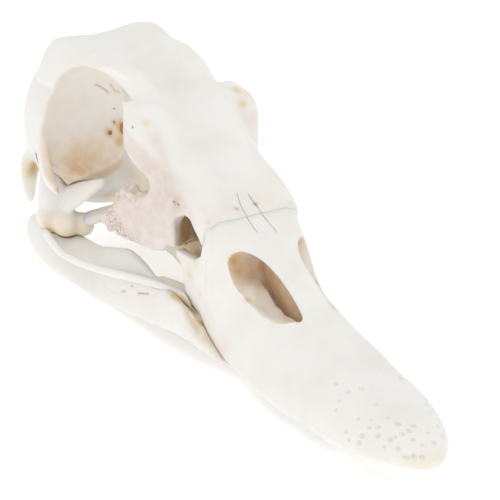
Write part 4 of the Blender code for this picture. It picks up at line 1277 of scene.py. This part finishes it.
def stainAndShadeNostrils(item):
    points = pointsOf(item)
    sides = sidesOf(item)
    x, y, z = sides
    low, high = nostrilStainAndShade["span"]
    depth = np.array([bill["skin"].find_nearest(Vector(point))[3] if low < point[0] < high else 0.0
                      for point in points])
    cavity = fade(depth, *nostrilStainAndShade["skinFade"])
    wall = fade(y, *nostrilStainAndShade["wallFade"])
    level = z - bill["nostrilSlope"] * (y - bill["nostrilLevelSide"])
    roofPlace, roofLevel = nostrilStainAndShade["roofStart"]
    roof = fade(level - roofLevel + nostrilStainAndShade["roofFall"] * (x - roofPlace), *nostrilStainAndShade["roofFade"])
    rear = within(sides, nostrilStainAndShade["rear"])
    near = np.where(points[:, 1] > 0.0, nostrilStainAndShade["farTan"], 1.0)
    # the tan of the roof, the rear and the middle wall is painted shade with some stain
    tan = np.maximum(nostrilStainAndShade["tan"] * np.maximum(roof, rear), nostrilStainAndShade["wallTan"] * wall)
    addTone(item, "tan", near * cavity * tan)
    addTone(item, "yellow", cavity * nostrilStainAndShade["floorYellow"] * (1.0 - wall))


sight = searchTree([craniumBone, billBone, jawBone, quadrateRight, pterygoidRight, palatineRight, jugalRight])
pierce(craniumBone, "cranium")
pierce(billBone, "upperBill")
pierce(jawBone, "lowerJaw")
print("holes and slits cut")
for item in (craniumBone, billBone, jawBone, quadrateRight, pterygoidRight, palatineRight, jugalRight, vomer):
    carveStainAndShade(item)
    stainAndShadePlaces(item)
stainAndShadeOrbit(craniumBone)
stainLacrimals(craniumBone)
stainAndShadeNostrils(billBone)
print("grooves and stains laid")


# Materials
def linear(hexColour):
    # sRGB hex to the linear numbers that a shader takes
    values = []
    for start in (1, 3, 5):
        value = int(hexColour[start:start + 2], 16) / 255
        values.append(value / 12.92 if value <= 0.04045 else ((value + 0.055) / 1.055) ** 2.4)
    return (*values, 1.0)


def addNode(tree, kind, settings=None, links=None):
    # settings are attributes or socket values, links are (source node, its output, this input)
    node = tree.nodes.new(kind)
    for name, value in (settings or {}).items():
        if isinstance(name, str) and hasattr(node, name):
            setattr(node, name, value)
        else:
            node.inputs[name].default_value = value
    for source, output, target in links or []:
        tree.links.new(source.outputs[output], node.inputs[target])
    return node


# Bleached bone: dry, chalky and slightly translucent, so it glows a little in the thin places
boneFinish = {
    "white": "#f1efeb",
    "cream": "#ede9e1",
    "pink": "#dac6bd",
    # yellow and tan also paint shade in hollows, under ledges and inside the nostrils
    "yellow": "#e6d196",
    "tan": "#cfa56b",
    "rust": "#b48c78",
    "mottleSize": 8.0,      # mm between pale and creamy patches
    "mottleDetail": 5.0,
    "mottleRange": {"From Min": 0.42, "From Max": 0.75},
    "blotSize": 2.0,        # mm between the darkest parts of a stain
    "blotDetail": 4.0,
    "blotRange": {"From Min": 0.35, "From Max": 0.65, "To Min": 0.75, "To Max": 1.2},
    "poreSize": 0.4,        # mm, drawn about twice as coarse as real pores so that they show
    "poreDetail": 3.0,
    "poreRelief": {"Strength": 0.12, "Distance": 0.1 * millimetre},
    "spongeSize": 0.7,      # mm between the pits of the porous lacrimals
    "spongeRange": {"From Min": 0.02, "From Max": 0.14, "To Min": 1.0, "To Max": 0.0},
    "spongeRelief": {"Strength": 0.5, "Distance": 0.2 * millimetre},
    "surface": {
        "Roughness": 0.5,
        "IOR": 1.45,
        "Subsurface Weight": 0.35,
        "Subsurface Radius": (1.0, 0.75, 0.5),
        "Subsurface Scale": 1.8 * millimetre,
    },
}


def setInputs(shader, values):
    for name, value in values.items():
        shader.inputs[name].default_value = value


def scaleOf(size):
    # a pattern's scale for a size in mm
    return 1.0 / (size * millimetre)


def noiseOf(tree, place, layer):
    values = {"Scale": scaleOf(boneFinish[layer + "Size"]), "Detail": boneFinish[layer + "Detail"]}
    return addNode(tree, "ShaderNodeTexNoise", values, [(place, "Object", "Vector")])


def mixed(tree, lower, upper, share, output):
    # lower and upper are nodes with a colour at output 2, or hex colours
    values = {"data_type": "RGBA"}
    links = [(share, output, 0)]
    for socket, colour in ((6, lower), (7, upper)):
        if isinstance(colour, str):
            values[socket] = linear(colour)
        else:
            links.append((colour, 2, socket))
    return addNode(tree, "ShaderNodeMix", values, links)


def toned(tree, base, tone, pattern, output, span):
    # lays a tone over the base where its tone attribute is, broken up by a pattern; tan and yellow carry both
    # stain and painted shade
    layer = addNode(tree, "ShaderNodeAttribute", {"attribute_name": tone})
    patches = addNode(tree, "ShaderNodeMapRange", span, [(pattern, output, "Value")])
    share = addNode(tree, "ShaderNodeMath", {"operation": "MULTIPLY", "use_clamp": True},
                    [(layer, "Fac", 0), (patches, "Result", 1)])
    return mixed(tree, base, boneFinish[tone], share, "Value")


def bleachedBone():
    material = bpy.data.materials.new("bleachedBone")
    material.use_nodes = True
    tree = material.node_tree
    shader = tree.nodes["Principled BSDF"]
    setInputs(shader, boneFinish["surface"])
    place = addNode(tree, "ShaderNodeTexCoord")
    mottle = addNode(tree, "ShaderNodeMapRange", boneFinish["mottleRange"],
                     [(noiseOf(tree, place, "mottle"), "Fac", "Value")])
    base = mixed(tree, boneFinish["white"], boneFinish["cream"], mottle, "Result")
    blots = noiseOf(tree, place, "blot")
    for tone in ("pink", "yellow", "tan"):
        base = toned(tree, base, tone, blots, "Fac", boneFinish["blotRange"])
    spongeScale = scaleOf(boneFinish["spongeSize"])
    cracks = addNode(tree, "ShaderNodeTexVoronoi", {"feature": "DISTANCE_TO_EDGE", "Scale": spongeScale},
                     [(place, "Object", "Vector")])
    base = toned(tree, base, "rust", cracks, "Distance", boneFinish["spongeRange"])
    tree.links.new(base.outputs[2], shader.inputs["Base Color"])
    pores = addNode(tree, "ShaderNodeBump", boneFinish["poreRelief"],
                    [(noiseOf(tree, place, "pore"), "Fac", "Height")])
    sponge = addNode(tree, "ShaderNodeTexVoronoi", {"Scale": spongeScale}, [(place, "Object", "Vector")])
    porous = addNode(tree, "ShaderNodeAttribute", {"attribute_name": "pink"})
    height = addNode(tree, "ShaderNodeMath", {"operation": "MULTIPLY"},
                     [(sponge, "Distance", 0), (porous, "Fac", 1)])
    relief = addNode(tree, "ShaderNodeBump", boneFinish["spongeRelief"],
                     [(height, "Value", "Height"), (pores, "Normal", "Normal")])
    tree.links.new(relief.outputs["Normal"], shader.inputs["Normal"])
    return material


bone = bleachedBone()


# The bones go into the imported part's frame and stand for its nodes
def putInFrame(item, name, nodes):
    shift = Matrix.Translation((-whole["middle"], 0.0, -whole["floor"]))
    mesh = item.data.copy()
    mesh.name = name
    mesh.transform(Matrix.Scale(millimetre, 4) @ shift)
    mesh.shade_smooth()
    mesh.set_sharp_from_angle(angle=math.radians(whole["sharpAngle"]))      # cut edges stay crisp
    mesh.materials.clear()
    mesh.materials.append(bone)
    piece = bpy.data.objects.new(name, mesh)
    bones.objects.link(piece)
    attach(piece, "root")
    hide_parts(*nodes)
    print(name, len(mesh.polygons), "faces")


putInFrame(craniumBone, "cranium",
           ["braincase", "frontal", "orbital_septum", "lacrimal_right", "lacrimal_left"])
putInFrame(billBone, "upperBill", ["upper_bill"])
putInFrame(jawBone, "lowerJaw", ["mandible_right", "mandible_left", "mandible_symphysis"])
putInFrame(vomer, "vomerBone", ["vomer"])
for item, word, node in [(quadrateRight, "quadrate", "quadrate"), (pterygoidRight, "pterygoid", "pterygoid"),
                         (palatineRight, "palatine", "palatine"), (jugalRight, "jugalBar", "jugal_bar")]:
    putInFrame(item, word + "Right", [node + "_right"])
    putInFrame(mirrored(item, word + "Mirror"), word + "Left", [node + "_left"])
for item in list(bench.objects):
    bpy.data.objects.remove(item, do_unlink=True)
print("bones in place")


# Floor and light: a white sweep in a light tent, with a soft lamp above and another beside the camera
studio = {
    "floorColour": "#f6f6f6",
    "floorGrain": "#f3f3f3",
    "floorSize": 3.0,       # m
    "floorCuts": 8,
    "floorPattern": 900.0,
    "card": {"Roughness": 0.9, "Specular IOR Level": 0.1, "Emission Color": linear("#ffffff")},
    "sky": 0.83,
    "skyFall": 0.03,
    "floorGlow": 0.33,      # the sweep is a lit panel, so that it stays white under the skull
    "lamps": [
        # place in metres, size and power
        {"name": "lampAbove", "place": (0.2, 0.15, 1.0), "size": 1.0, "power": 1.7},
        {"name": "lampBeside", "place": (0.5, -0.5, 0.28), "size": 0.7, "power": 0.15},
    ],
}


def makeStudio():
    cuts = studio["floorCuts"]
    bpy.ops.mesh.primitive_grid_add(x_subdivisions=cuts, y_subdivisions=cuts, size=studio["floorSize"])
    floor = bpy.context.object
    floor.name = "paleFloor"
    card = bpy.data.materials.new("mattCard")      # matt white card, without gloss
    card.use_nodes = True
    shader = card.node_tree.nodes["Principled BSDF"]
    setInputs(shader, studio["card"])
    place = addNode(card.node_tree, "ShaderNodeTexCoord")
    pattern = addNode(card.node_tree, "ShaderNodeTexNoise", {"Scale": studio["floorPattern"]},
                      [(place, "Object", "Vector")])
    tone = mixed(card.node_tree, studio["floorColour"], studio["floorGrain"], pattern, "Fac")
    card.node_tree.links.new(tone.outputs[2], shader.inputs["Base Color"])
    shader.inputs["Emission Strength"].default_value = studio["floorGlow"]
    floor.data.materials.append(card)
    world = bpy.data.worlds.new("lightTent")
    bpy.context.scene.world = world
    world.use_nodes = True
    tree = world.node_tree
    sky = tree.nodes["Background"]
    sky.inputs["Color"].default_value = linear("#ffffff")
    # the tent is dimmer on the far side of the skull
    place = addNode(tree, "ShaderNodeTexCoord")
    parts = addNode(tree, "ShaderNodeSeparateXYZ", {}, [(place, "Generated", "Vector")])
    near, distant = studio["sky"] + studio["skyFall"], studio["sky"] - studio["skyFall"]
    strength = addNode(tree, "ShaderNodeMapRange", {"From Min": -1.0, "To Min": near, "To Max": distant},
                       [(parts, "Y", "Value")])
    tree.links.new(strength.outputs["Result"], sky.inputs["Strength"])
    for sizes in studio["lamps"]:
        light = bpy.data.lights.new(sizes["name"], "AREA")
        light.energy = sizes["power"]
        light.size = sizes["size"]
        lamp = bpy.data.objects.new(sizes["name"], light)
        bpy.context.scene.collection.objects.link(lamp)
        lamp.location = sizes["place"]
        lamp.rotation_euler = Vector(sizes["place"]).to_track_quat("Z", "Y").to_euler()
    bpy.context.scene.view_settings.view_transform = "Standard"


makeStudio()
print("floor and light set")
